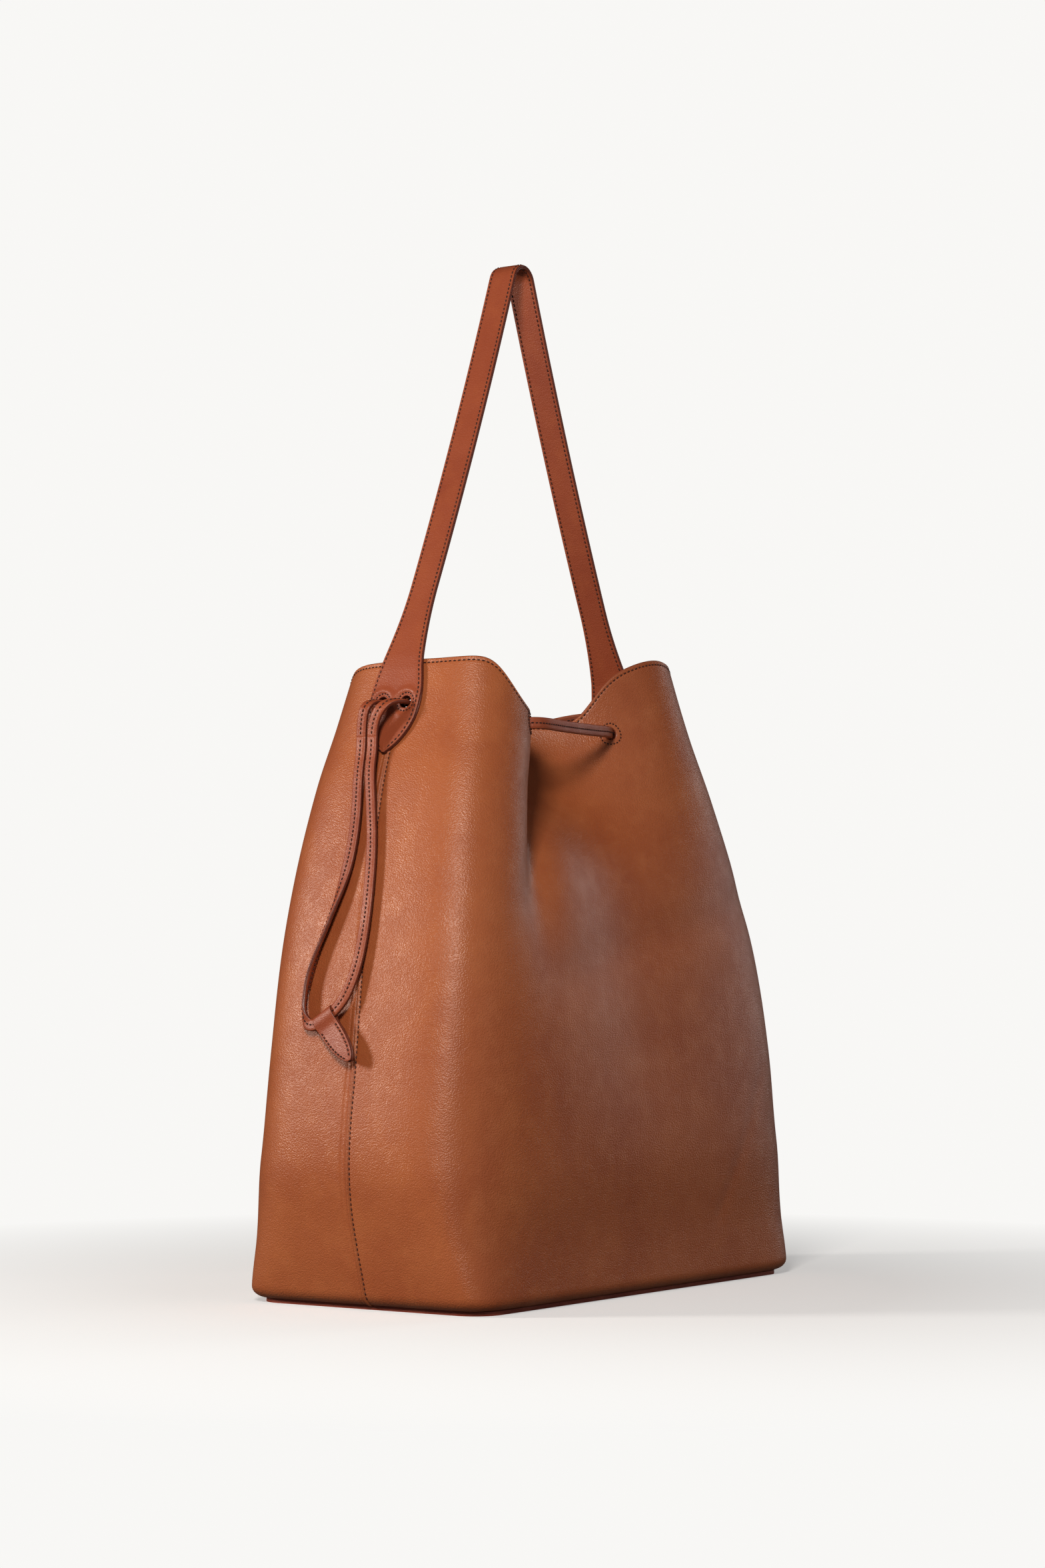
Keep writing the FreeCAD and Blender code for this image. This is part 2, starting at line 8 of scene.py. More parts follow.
import math
import bpy
import numpy as np
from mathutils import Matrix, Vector


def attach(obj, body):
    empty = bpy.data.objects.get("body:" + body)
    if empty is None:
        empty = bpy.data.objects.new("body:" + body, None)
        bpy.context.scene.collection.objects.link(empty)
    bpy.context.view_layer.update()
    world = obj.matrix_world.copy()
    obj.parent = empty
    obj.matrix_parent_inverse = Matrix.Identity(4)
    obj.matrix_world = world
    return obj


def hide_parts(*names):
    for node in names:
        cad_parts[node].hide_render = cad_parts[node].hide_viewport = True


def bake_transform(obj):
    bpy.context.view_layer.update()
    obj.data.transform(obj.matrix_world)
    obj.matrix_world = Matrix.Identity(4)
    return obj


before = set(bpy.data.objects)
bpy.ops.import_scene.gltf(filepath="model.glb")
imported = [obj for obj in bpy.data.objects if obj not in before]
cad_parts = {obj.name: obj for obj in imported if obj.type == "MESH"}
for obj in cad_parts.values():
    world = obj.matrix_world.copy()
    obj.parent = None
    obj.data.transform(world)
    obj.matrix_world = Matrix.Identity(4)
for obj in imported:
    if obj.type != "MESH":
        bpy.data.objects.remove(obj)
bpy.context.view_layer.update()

# ---------------- driving dimensions
RIM_HEIGHT = 0.470
TOP_SHIFT = (-0.009, 0.007)
SEAM_SHIFT = 0.005
FOOT_SEAM_SHIFT = -0.005  # the seams swing towards the front again at the foot
FOOT_SEAM_HEIGHT = 0.075
LEAN_STARTS = 0.150
# The wall's horizontal sections by height: half width, half depth, squareness.
SECTIONS = np.array([
    (0.000, 0.219, 0.111, 14),
    (0.045, 0.2275, 0.109, 8),
    (0.105, 0.235, 0.1115, 5.2),
    (0.180, 0.226, 0.108, 5.3),
    (0.250, 0.2125, 0.104, 5.5),
    (0.310, 0.1965, 0.100, 5.2),
    (0.376, 0.1745, 0.095, 4.5),
    (0.424, 0.1545, 0.091, 4.0),
    (0.500, 0.130, 0.082, 3.5),
])
# Valleys by height: depth of the broad hollow, then depth, middle and decay of the fold.
FRONT_VALLEY = np.array([
    (0.000, 0.000, 0.000, -0.125, 0.030),
    (0.105, 0.001, 0.000, -0.125, 0.030),
    (0.180, 0.005, 0.000, -0.125, 0.030),
    (0.250, 0.010, 0.004, -0.122, 0.026),
    (0.310, 0.020, 0.018, -0.104, 0.019),
    (0.376, 0.048, 0.038, -0.053, 0.0225),
    (0.424, 0.0515, 0.0425, -0.011, 0.023),
    (0.500, 0.0425, 0.0415, -0.007, 0.0175),
])
BACK_VALLEY = np.array([
    (0.000, 0.000, 0.000, 0.0, 0.066),
    (0.105, 0.001, 0.000, 0.0, 0.066),
    (0.180, 0.004, 0.002, 0.0, 0.060),
    (0.250, 0.008, 0.006, 0.0, 0.050),
    (0.310, 0.015, 0.013, 0.0, 0.040),
    (0.376, 0.026, 0.022, 0.0, 0.030),
    (0.424, 0.032, 0.028, 0.0, 0.026),
    (0.500, 0.034, 0.030, 0.0, 0.024),
])
HOLLOW_WIDTH = 0.070
HOLLOW_MIDDLE = -0.010
# The mouth's edge at the left and right: rise over the lobe, dip, and the dip's half width and exponent.
FRONT_RIM = np.array(((0.010, 0.0465, 0.113, 8.5), (0.0215, 0.064, 0.0465, 1.4)))
BACK_RIM = np.array(((0.0, 0.036, 0.118, 8.0), (0.0, 0.0385, 0.152, 5.0)))
RIM_FADE = 0.030  # a dip that reaches an end wall dies out over this distance from the end's middle

WALL = 0.0024
FACING = 0.0012
FACING_GAP = 0.0002
FACING_HEIGHT = 0.078
TUCK_RADIUS = 0.009
WALL_FOOT = 0.0032
SEAM_GAP = 0.0002
HOLE_RADIUS = 0.005
EYELET_Z = 0.424
FRONT_EYELETS = (-0.084, 0.045)
BACK_EYELETS = (-0.064, 0.064)

STRAP_HALF_WIDTH = 0.0115
STRAP_THICKNESS = 0.0030
STRAP_FACE = 0.0016  # the strap's outer leather, and the lining below
STRAP_LINING = 0.0014
STRAP_TOP = 0.788
STRAP_FOOT_Z = RIM_HEIGHT - 0.0015
STRAP_BEND_RADIUS = 0.013
STRAP_TOP_ANGLE = math.radians(20)
STRAP_Y = TOP_SHIFT[1] + SEAM_SHIFT
TAB_GAP = 0.0004
TAB_HOLE_Z = 0.437
TAB_HOLE_SPACING = 0.0215

CORD_WIDTH = 0.0088
CORD_THICKNESS = 0.0034
SWING_Z = 0.412
FRONT_STRAND_Y = 0.0185
BACK_STRAND_Y = 0.0285
STRAND_OUT = 0.0115
STRAND_DROP = 0.009
# The loop outside a tab as (y, distance out from the wall, height): down in front, up at the back.
LOOP_DOWN = [
    (0.0165, 0.0070, 0.386),
    (0.0105, 0.0050, 0.362),
    (0.0030, 0.0045, 0.332),
    (-0.0010, 0.0045, 0.296),
    (-0.0015, 0.0045, 0.262),
    (0.0020, 0.0055, 0.236),
]
SLEEVE_MIDDLE = (0.0220, 0.0075, 0.207)
SLEEVE_TILT = math.radians(32)
SLEEVE_HALF_LENGTH = 0.0092
LOOP_UP = [
    (0.0435, 0.0060, 0.209),
    (0.0450, 0.0050, 0.228),
    (0.0395, 0.0045, 0.254),
    (0.0295, 0.0045, 0.282),
    (0.0215, 0.0045, 0.316),
    (0.0215, 0.0045, 0.350),
    (0.0265, 0.0070, 0.384),
]

PULL_LENGTH = 0.040  # from the cord's middle to the leaf's tip
PULL_HALF_WIDTH = 0.0091
PULL_LEATHER = 0.0013
LEAF_SLANT = 0.22  # the leaf of a pull hangs askew, towards the front

STITCH_PITCH = 0.0036
THREAD = 0.00105
# How far each line of stitches lies from its edge, and the radii of the stitched rings.
RIM_INSET = 0.0026
SEAM_INSET = 0.0032
STRAP_INSET = 0.0021
PULL_INSET = 0.0019
EYELET_RING = 0.0082
TAB_RING = 0.0072
CELL = 0.0023  # side of a mesh face on the body
BACKGROUND = (0.948, 0.941, 0.926)
FLOOR_SHARE = 0.78  # how much of the floor near the bag is lit rather than plain background
FLOOR_LIFT = 0.19  # glow added to the lit floor, so that its shadows stay pale
FLOOR_RADIUS = 14
FLOOR_SIDES = 64
AMBIENT = 0.07
LENS = 76.5  # millimetres, on a sensor 36 mm wide


# ---------------- the wall's shape
def smooth(t):
    t = np.clip(t, 0.0, 1.0)
    return t * t * (3 - 2 * t)


def bump(t):
    return np.exp(-t * t)


def matched(a, b):
    """Two values or arrays as float arrays of one shape."""
    return np.broadcast_arrays(np.asarray(a, float), np.asarray(b, float))


def table_at(table, z):
    """The columns of a table by height, on Catmull-Rom curves through its rows."""
    last = len(table) - 2
    i = np.clip(np.searchsorted(table[:, 0], z, side="right") - 1, 0, last)
    before, a, b, after = (table[np.clip(i + k, 0, last + 1)] for k in (-1, 0, 1, 2))
    span = b[..., :1] - a[..., :1]
    t = (np.asarray(z)[..., None] - a[..., :1]) / span
    slope_a = (b - before) * span / (b[..., :1] - before[..., :1])
    slope_b = (after - a) * span / (after[..., :1] - a[..., :1])
    values = a * (2 * t**3 - 3 * t**2 + 1) + slope_a * (t**3 - 2 * t**2 + t)
    values = values + b * (3 * t**2 - 2 * t**3) + slope_b * (t**3 - t**2)
    return [values[..., k] for k in range(1, table.shape[1])]


def tuck(z):
    """How far the curled bottom edge is drawn in at a height."""
    down = np.clip(TUCK_RADIUS - (z - WALL_FOOT), 0.0, TUCK_RADIUS)
    return TUCK_RADIUS - np.sqrt(TUCK_RADIUS**2 - down**2)


def lean(z):
    return smooth((z - LEAN_STARTS) / (RIM_HEIGHT - LEAN_STARTS))


def seam_y(z):
    return STRAP_Y * lean(z) + FOOT_SEAM_SHIFT * smooth(1 - z / FOOT_SEAM_HEIGHT)


def valley(x, z, table):
    hollow, fold, middle, decay = table_at(table, z)
    rounding = 0.75 * decay
    away = np.hypot(x - middle, rounding) - rounding
    return hollow * bump((x - HOLLOW_MIDDLE) / HOLLOW_WIDTH) + fold * np.exp(-away / decay)


# Soft folds of the front wall: from and to (x, z), half width across, and how far they push the wall out.
SOFT_FOLDS = [
    ((0.150, 0.290), (-0.085, 0.238), 0.020, -0.0022),
    ((0.169, 0.158), (0.100, 0.056), 0.007, -0.0006),
]


def soft_folds(x, z):
    """How far the front wall stands out at (x, z) in its soft folds."""
    out = 0.0
    for start, end, width, lift in SOFT_FOLDS:
        dx, dz = end[0] - start[0], end[1] - start[1]
        length = math.hypot(dx, dz)
        along = ((x - start[0]) * dx + (z - start[1]) * dz) / length
        across = ((x - start[0]) * dz - (z - start[1]) * dx) / length
        beyond = np.maximum(np.maximum(-along, along - length), 0.0)
        out = out + lift * bump(across / width) * bump(beyond / (2 * width))
    return out


def wall_at(angle, z):
    """Points on the wall's outer surface at polar angles round the bag and heights."""
    angle, z = matched(angle, z)
    half_width, half_depth, power = table_at(SECTIONS, z)
    half_width = half_width - tuck(z)
    half_depth = half_depth - tuck(z)
    c, s = np.cos(angle), np.sin(angle)
    radius = (np.abs(c / half_width) ** power + np.abs(s / half_depth) ** power) ** (-1 / power)
    x, y = radius * c, radius * s
    share = smooth(np.abs(y) / (0.6 * half_depth))
    front = valley(x, z, FRONT_VALLEY) - soft_folds(x, z)
    y = y + share * np.where(y < 0, front, -valley(x, z, BACK_VALLEY))
    shift = lean(z)
    return np.stack((x + TOP_SHIFT[0] * shift, y + TOP_SHIFT[1] * shift, z), axis=-1)


def rim_z(angle):
    """Height of the mouth's edge: it rises over the lobes and dips in each valley."""
    wall = wall_at(angle, RIM_HEIGHT)
    x = wall[..., 0] - TOP_SHIFT[0]
    share = smooth((x + 0.060) / 0.120)[..., None]
    left, right = (np.where(np.sin(angle)[..., None] < 0, a, b) for a, b in zip(FRONT_RIM, BACK_RIM))
    rise, dip, half_width, power = np.moveaxis(left + (right - left) * share, -1, 0)
    out = np.minimum(np.abs(x) / table_at(SECTIONS, np.array(RIM_HEIGHT))[0], 1.0)
    fade = np.maximum(1 - out**8, smooth(np.abs(wall[..., 1] - TOP_SHIFT[1]) / RIM_FADE))
    dip = dip * fade * np.exp(-((np.abs(x) / half_width) ** power))
    return RIM_HEIGHT + rise * (1 - out**4) - dip


def angle_of_long_side(x, z, front):
    half_width, half_depth, power = table_at(SECTIONS, np.array(z))
    y = half_depth * (1 - abs(x / half_width) ** power) ** (1 / power)
    return math.atan2(-y if front else y, x) % (2 * math.pi)


def angle_of_end(y, z, side):
    half_width, half_depth, power = table_at(SECTIONS, z)
    across = y - TOP_SHIFT[1] * lean(z)
    x = half_width * (1 - np.abs(across / half_depth) ** power) ** (1 / power)
    return np.arctan2(across, side * x)


def unit(v):
    return v / np.linalg.norm(v, axis=-1, keepdims=True)


def wall_normal(angle, z):
    along = wall_at(angle + 1e-3, z) - wall_at(angle - 1e-3, z)
    up = wall_at(angle, z + 5e-4) - wall_at(angle, z - 5e-4)
    return unit(np.cross(along, up))


def beside_end(y, out, z, side):
    """A point at y and a height, standing a distance out from the left (-1) or right (1) end wall."""
    wall = wall_at(angle_of_end(y, np.array(z), side), z)
    return np.array((wall[0] + side * out, y, z))


# ---------------- mesh making
def add_object(name, data):
    piece = bpy.data.objects.new(name, data)
    bpy.context.scene.collection.objects.link(piece)
    return piece


def make_object(name, verts, faces, materials, indices=None):
    """A smooth mesh piece, from an array of rows and a list of faces; indices pick the faces' materials."""
    mesh = bpy.data.meshes.new(name)
    mesh.from_pydata(verts.tolist(), [], faces)
    for material in materials:
        mesh.materials.append(material)
    if indices is not None:
        mesh.polygons.foreach_set("material_index", np.asarray(indices, np.int32))
    mesh.polygons.foreach_set("use_smooth", np.ones(len(mesh.polygons), bool))
    mesh.update()
    return add_object(name, mesh)


def dress(pieces, body):
    """Pieces that ride one body: each one is attached to the body's empty."""
    for piece in pieces:
        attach(piece, body)


def surface_frame(place, uv, step=1e-5):
    """Points of a surface at (u, v) rows, with their normals."""
    u, v = uv[:, 0], uv[:, 1]
    du = place(u + step, v) - place(u - step, v)
    dv = place(u, v + step) - place(u, v - step)
    return place(u, v), unit(np.cross(du, dv))


def find_hole(place, us, vs, target, radius):
    """A hole as its (u, v) middle, the matrix from metres across the surface to (u, v), and its radius."""
    grid = place(*np.meshgrid(us, vs, indexing="ij"))
    i, j = np.unravel_index(np.argmin(np.linalg.norm(grid - target, axis=-1)), grid.shape[:2])
    uv = np.array([us[i], vs[j]])
    step = 1e-4
    for _ in range(8):
        du = (place(uv[0] + step, uv[1]) - place(uv[0] - step, uv[1])) / (2 * step)
        dv = (place(uv[0], uv[1] + step) - place(uv[0], uv[1] - step)) / (2 * step)
        jacobian = np.column_stack((du, dv))
        uv = uv + np.linalg.lstsq(jacobian, target - place(uv[0], uv[1]), rcond=None)[0]
    first = unit(du)
    second = unit(dv - first * (dv @ first))
    to_uv = np.linalg.pinv(np.column_stack((first, second)).T @ jacobian)
    return uv, to_uv, radius


def sheet_grid(us, vs, holes):
    """Rows of (u, v) and quads of a grid in which a ring of faces leads up to each round hole."""
    nu, nv = len(us), len(vs)
    uv = np.stack(np.meshgrid(us, vs, indexing="ij"), axis=-1).reshape(-1, 2)
    keep = np.ones((nu - 1, nv - 1), bool)
    extra_uv, extra_faces = [], []
    count = nu * nv
    for middle, to_uv, radius in holes:
        reach = np.abs(to_uv) @ np.ones(2) * radius * 1.65
        near, far = middle - reach, middle + reach
        i0, i1 = np.clip(np.searchsorted(us, [near[0], far[0]]) + (-1, 0), 0, nu - 1)
        j0, j1 = np.clip(np.searchsorted(vs, [near[1], far[1]]) + (-1, 0), 0, nv - 1)
        keep[i0:i1, j0:j1] = False
        loop = [(i, j0) for i in range(i0, i1)] + [(i1, j) for j in range(j0, j1)]
        loop += [(i, j1) for i in range(i1, i0, -1)] + [(i0, j) for j in range(j1, j0, -1)]
        border = np.array([i * nv + j for i, j in loop])
        across = np.linalg.solve(to_uv, (uv[border] - middle).T).T
        circle = middle + (unit(across) * radius) @ to_uv.T
        previous = None
        for share in HOLE_RINGS:
            if share < 1:
                extra_uv.append(circle * (1 - share) + uv[border] * share)
                ring = count + np.arange(len(border))
                count += len(border)
            else:
                ring = border
            if previous is not None:
                turn = np.roll(np.arange(len(border)), -1)
                extra_faces.append(np.stack((previous, ring, ring[turn], previous[turn]), axis=1))
            previous = ring
    i, j = np.nonzero(keep)
    corner = i * nv + j
    quads = [np.stack((corner, corner + nv, corner + nv + 1, corner + 1), axis=1)] + extra_faces
    quads, uv = np.concatenate(quads), np.concatenate([uv] + extra_uv)
    used, quads = np.unique(quads, return_inverse=True)
    return uv[used], quads.reshape(-1, 4)


# Where the rings of a hole's faces and of a rounded edge lie, as shares of the way across.
HOLE_RINGS = (0.0, 0.07, 0.17, 0.30, 0.46, 0.64, 0.82, 1.0)
EDGE_RINGS = (0.14, 0.38, 0.62, 0.86)


def leather_sheet(name, place, us, vs, thickness, materials, holes=(), bulge=0.35):
    """A sheet of leather whose outer face is place(u, v), with rounded edges.

    Materials are those of the face, the back and the edge; each hole is a middle point and a radius.
    """
    uv, quads = sheet_grid(us, vs, [find_hole(place, us, vs, *hole) for hole in holes])
    points, normals = surface_frame(place, uv)
    count = len(points)
    sides = np.concatenate([quads[:, [k, (k + 1) % 4]] for k in range(4)])
    keys = sides[:, 0].astype(np.int64) * count + sides[:, 1]
    border = sides[~np.isin(sides[:, 1].astype(np.int64) * count + sides[:, 0], keys)]
    outward = np.zeros_like(points)
    push = unit(np.cross(points[border[:, 1]] - points[border[:, 0]], normals[border[:, 0]]))
    for k in (0, 1):
        np.add.at(outward, border[:, k], push)
    rim = np.unique(border)
    order = np.zeros(count, int)
    order[rim] = np.arange(len(rim))
    back = points - normals * thickness
    verts, rings = [points, back], [np.arange(count)]
    for k, share in enumerate(EDGE_RINGS):
        out = unit(outward[rim]) * (bulge * thickness * math.sin(math.pi * share))
        verts.append(points[rim] * (1 - share) + back[rim] * share + out)
        rings.append(2 * count + k * len(rim) + order)
    rings.append(count + np.arange(count))
    faces = [quads, quads[:, ::-1] + count]
    for upper, lower in zip(rings, rings[1:]):
        a, b = border[:, 0], border[:, 1]
        faces.append(np.stack((upper[b], upper[a], lower[a], lower[b]), axis=1))
    indices = np.repeat((0, 1, 2), (len(quads), len(quads), len(border) * (len(rings) - 1)))
    return make_object(name, np.concatenate(verts), np.concatenate(faces).tolist(), materials, indices)


def distances(path):
    """The distance of each of a polyline's points from its start, along the line."""
    steps = np.linalg.norm(np.diff(path, axis=0), axis=1)
    return np.concatenate(([0.0], np.cumsum(steps)))


def followed(path, reach, u, blur):
    """A polyline's columns at distances along it, and the blurred normal to its first two columns."""
    places = (u, u - blur, u + blur)
    here, before, after = ([np.interp(at, reach, column) for column in path.T] for at in places)
    first, second = after[0] - before[0], after[1] - before[1]
    norm = np.hypot(first, second)
    return here, -second / norm, first / norm


def along_path(values, reach, at):
    """Rows of three values at distances along a polyline, between the rows given at its points."""
    return np.stack([np.interp(at, reach, values[:, k]) for k in range(3)], axis=1)


# A stitch's rings of vertices: place along it from -1 to 1, and girth.
STITCH_RINGS = ((-1.0, 0.30), (-0.72, 0.80), (-0.25, 1.0), (0.25, 1.0), (0.72, 0.80), (1.0, 0.30))
STITCH_SIDES = 6
SHORT_STITCH = {"pitch": 0.0026, "length": 0.0019}


def stitch_geometry(path, normals, pitch=STITCH_PITCH, length=0.0027, slant=0.10):
    """Threads laid along a polyline on a surface, one rounded stitch at a time."""
    reach = distances(path)
    count = max(2, int(round(reach[-1] / pitch)))
    at = (np.arange(count) + 0.5) * reach[-1] / count
    middle = along_path(path, reach, at)
    tangent = unit(along_path(path, reach, at + 5e-4) - along_path(path, reach, at - 5e-4))
    normal = along_path(normals, reach, at)
    normal = unit(normal - tangent * np.sum(normal * tangent, axis=1, keepdims=True))
    side = np.cross(normal, tangent)
    tangent = tangent * math.cos(slant) + side * math.sin(slant)
    side = np.cross(normal, tangent)
    verts = []
    for share, girth in STITCH_RINGS:
        for k in range(STITCH_SIDES):
            turn = 2 * math.pi * k / STITCH_SIDES
            rise = THREAD * (0.28 - 0.55 * share**2 + 0.5 * girth * math.sin(turn))
            across = 0.5 * THREAD * girth * math.cos(turn)
            verts.append(middle + tangent * (share * length / 2) + normal * rise + side * across)
    verts = np.stack(verts, axis=1)
    ring = np.arange(STITCH_SIDES)
    faces = []
    for k in range(len(STITCH_RINGS) - 1):
        a, b = k * STITCH_SIDES + ring, k * STITCH_SIDES + np.roll(ring, -1)
        faces.append(np.stack((a, a + STITCH_SIDES, b + STITCH_SIDES, b), axis=1))
    faces = np.concatenate(faces)
    caps = np.stack((ring[::-1], ring + (len(STITCH_RINGS) - 1) * STITCH_SIDES))
    per = len(STITCH_RINGS) * STITCH_SIDES
    starts = np.arange(len(middle)) * per
    quads = (faces[None] + starts[:, None, None]).reshape(-1, 4)
    ends = (caps[None] + starts[:, None, None]).reshape(-1, STITCH_SIDES)
    return verts.reshape(-1, 3), quads, ends


def stitching(name, lines, **options):
    """All the stitches along several (path, normals) lines, as one piece."""
    verts, faces, count = [], [], 0
    for path, normals in lines:
        points, quads, ends = stitch_geometry(path, normals, **options)
        verts.append(points)
        faces += (quads + count).tolist() + (ends + count).tolist()
        count += len(points)
    return make_object(name, np.concatenate(verts), faces, [STITCH])


def surface_line(place, us, vs):
    """A line on a surface through matching u and v values, with its normals."""
    return surface_frame(place, np.column_stack((us, vs)))


def ring_line(place, hole, radius):
    """A circle on a surface, round a hole that find_hole gave, with its normals."""
    middle, to_uv, _ = hole
    turn = np.linspace(0, 2 * math.pi, 73)
    uv = middle + (np.column_stack((np.cos(turn), np.sin(turn))) * radius) @ to_uv.T
    return surface_line(place, uv[:, 0], uv[:, 1])


# ---------------- materials
class Tree:
    """The nodes of one material or of the world. A short method adds a node and returns its output."""

    def __init__(self, owner):
        owner.use_nodes = True
        self.nodes, self.links = owner.node_tree.nodes, owner.node_tree.links
        self.nodes.clear()

    def add(self, kind, inputs=(), **settings):
        """A new node. Its inputs are pairs of a key and a value, a colour or another node's output."""
        node = self.nodes.new("ShaderNode" + kind)
        for key, value in settings.items():
            setattr(node, key, value)
        for key, value in dict(inputs).items():
            socket = node.inputs[key]
            if isinstance(value, bpy.types.NodeSocket):
                self.links.new(value, socket)
            else:
                socket.default_value = (*value, 1.0) if socket.type == "RGBA" else value
        return node

    def noise(self, vector, scale, detail=3.0, rough=0.55, distortion=0.0):
        look = {"Scale": scale, "Detail": detail, "Roughness": rough, "Distortion": distortion}
        return self.add("TexNoise", {"Vector": vector, **look}).outputs["Fac"]

    def remap(self, value, low, high, to_low, to_high):
        ends = {"From Min": low, "From Max": high, "To Min": to_low, "To Max": to_high}
        return self.add("MapRange", {"Value": value, **ends}).outputs["Result"]

    def mixed(self, share, a, b):
        """A mix of two colours."""
        return self.add("Mix", {0: share, 6: a, 7: b}, data_type="RGBA").outputs[2]

    def either(self, share, a, b):
        """A mix of two shaders."""
        return self.add("MixShader", {"Fac": share, 1: a, 2: b}).outputs["Shader"]

    def bumped(self, height, distance, strength, below=None):
        normal = {"Normal": below} if below else {}
        inputs = {"Height": height, "Distance": distance, "Strength": strength, **normal}
        return self.add("Bump", inputs).outputs["Normal"]

    def surface(self, colour, rough, normal, **others):
        """The material's shader and its output."""
        inputs = {"Base Color": colour, "Roughness": rough, "Normal": normal, **others}
        self.add("OutputMaterial", {"Surface": self.add("BsdfPrincipled", inputs).outputs["BSDF"]})


def new_material(name):
    """A new material, its nodes, and the place on the object as an output."""
    material = bpy.data.materials.new(name)
    tree = Tree(material)
    return material, tree, tree.add("TexCoord").outputs["Object"]


def leather(name, colour, deep, pale, grain=1.0, rough=0.42, specular=0.48, pebble=950.0):
    """Tanned leather: cloudy colour, pebbled grain with pores, faint scuffs and a satin gloss."""
    material, tree, place = new_material(name)
    clouds = tree.noise(place, 9.0, 4.0, 0.6, 0.4)
    mottle = tree.noise(place, 55.0, 3.0, 0.6)
    speckle = tree.noise(place, 700.0, 2.0, 0.7)
    lengthened = {"Vector": place, "Scale": (30.0, 30.0, 210.0), "Rotation": (0.5, 0.4, 0.2)}
    scuff = tree.noise(tree.add("Mapping", lengthened).outputs["Vector"], 1.0, 4.0, 0.7, 1.2)
    body = tree.mixed(tree.remap(clouds, 0.35, 0.68, 0.0, 1.0), deep, colour)
    body = tree.mixed(tree.remap(mottle, 0.45, 0.75, 0.0, 0.45), body, pale)
    body = tree.mixed(tree.remap(speckle, 0.3, 0.5, 0.28, 0.0), body, deep)
    body = tree.mixed(tree.remap(scuff, 0.66, 0.74, 0.0, 0.35), body, pale)
    drift = tree.add("TexNoise", {"Vector": place, "Scale": 260.0}).outputs["Color"]
    warp = tree.add("VectorMath", {0: drift, 1: (0.0012,) * 3, 2: place}, operation="MULTIPLY_ADD")
    pores = {"Scale": pebble, "Smoothness": 0.6, "Randomness": 1.0, "Vector": warp.outputs["Vector"]}
    cells = tree.add("TexVoronoi", pores, feature="SMOOTH_F1")
    pebbles = tree.remap(cells.outputs["Distance"], 0.1, 0.75, 1.0, 0.0)
    normal = tree.bumped(tree.noise(place, 34.0, 2.0, 0.5), 0.0012, 0.12)
    normal = tree.bumped(tree.noise(place, 190.0, 4.0, 0.6, 0.6), 0.0005, 0.35 * grain, normal)
    normal = tree.bumped(pebbles, 0.00022, 0.75 * grain, normal)
    gloss = tree.remap(mottle, 0.3, 0.7, rough + 0.06, rough - 0.05)
    tree.surface(body, gloss, normal, **{"Specular IOR Level": specular})
    return material


def painted_edge(name, colour, pale):
    """Burnished and painted leather edge: smooth, glossy, a little worn."""
    material, tree, place = new_material(name)
    wear = tree.noise(place, 160.0, 4.0, 0.65)
    worn = tree.mixed(tree.remap(wear, 0.5, 0.8, 0.0, 0.6), colour, pale)
    ripple = tree.bumped(tree.noise(place, 600.0, 2.0, 0.5), 0.0002, 0.35)
    tree.surface(worn, tree.remap(wear, 0.3, 0.7, 0.30, 0.46), ripple)
    return material


def thread_material(name, colour, pale):
    """Waxed thread with a fine twist."""
    material, tree, place = new_material(name)
    twist = tree.add("TexWave", {"Scale": 1300.0, "Distortion": 2.0, "Vector": place}).outputs["Fac"]
    worn = tree.mixed(tree.remap(tree.noise(place, 220.0), 0.4, 0.75, 0.0, 0.5), colour, pale)
    tree.surface(worn, 0.55, tree.bumped(twist, 0.0002, 0.5))
    return material


# Colour, its deep and pale patches, then grain, roughness, gloss and the pebbles' number.
BODY = leather("body_leather", (0.44, 0.136, 0.047), (0.37, 0.1, 0.033), (0.5, 0.175, 0.068), 1.0, 0.41)
TRIM = leather("trim_leather", (0.36, 0.09, 0.036), (0.3, 0.066, 0.026), (0.41, 0.12, 0.05), 0.6, 0.45)
SOLE = leather("sole_leather", (0.4, 0.095, 0.052), (0.3, 0.06, 0.035), (0.48, 0.14, 0.08), 0.5, 0.45)
LINING = leather("lining_leather", (0.3, 0.085, 0.038), (0.22, 0.055, 0.026), (0.36, 0.12, 0.055), 0.5, 0.5)
FLESH = leather(
    "flesh_side", (0.33, 0.13, 0.06), (0.25, 0.085, 0.04), (0.42, 0.19, 0.1), 1.6, 0.8, 0.25, 1500.0)
EDGE = painted_edge("edge_paint", (0.150, 0.034, 0.017), (0.230, 0.065, 0.034))
RAW_EDGE = painted_edge("burnished_edge", (0.300, 0.090, 0.042), (0.480, 0.220, 0.120))
STITCH = thread_material("thread", (0.055, 0.012, 0.006), (0.110, 0.030, 0.015))


# ---------------- body
def panel_turns(z, front):
    """The turn that the seams' shift gives to a column, as (start, edge, swing)."""
    half_width = table_at(SECTIONS, z)[0]
    start = math.pi if front else 0.0
    shift = seam_y(z) - TOP_SHIFT[1] * lean(z)
    return start, SEAM_GAP / 2 / half_width, shift / half_width


MEASURED_AT = 0.250  # the height at which u counts in metres round the wall


def even_turns(front):
    """Lengths round a panel from its left seam, and the shares of the half turn that they stand for."""
    turn = np.linspace(0, math.pi, 4001) + (math.pi if front else 0.0)
    return distances(wall_at(turn, MEASURED_AT)), np.linspace(0, 1, 4001)


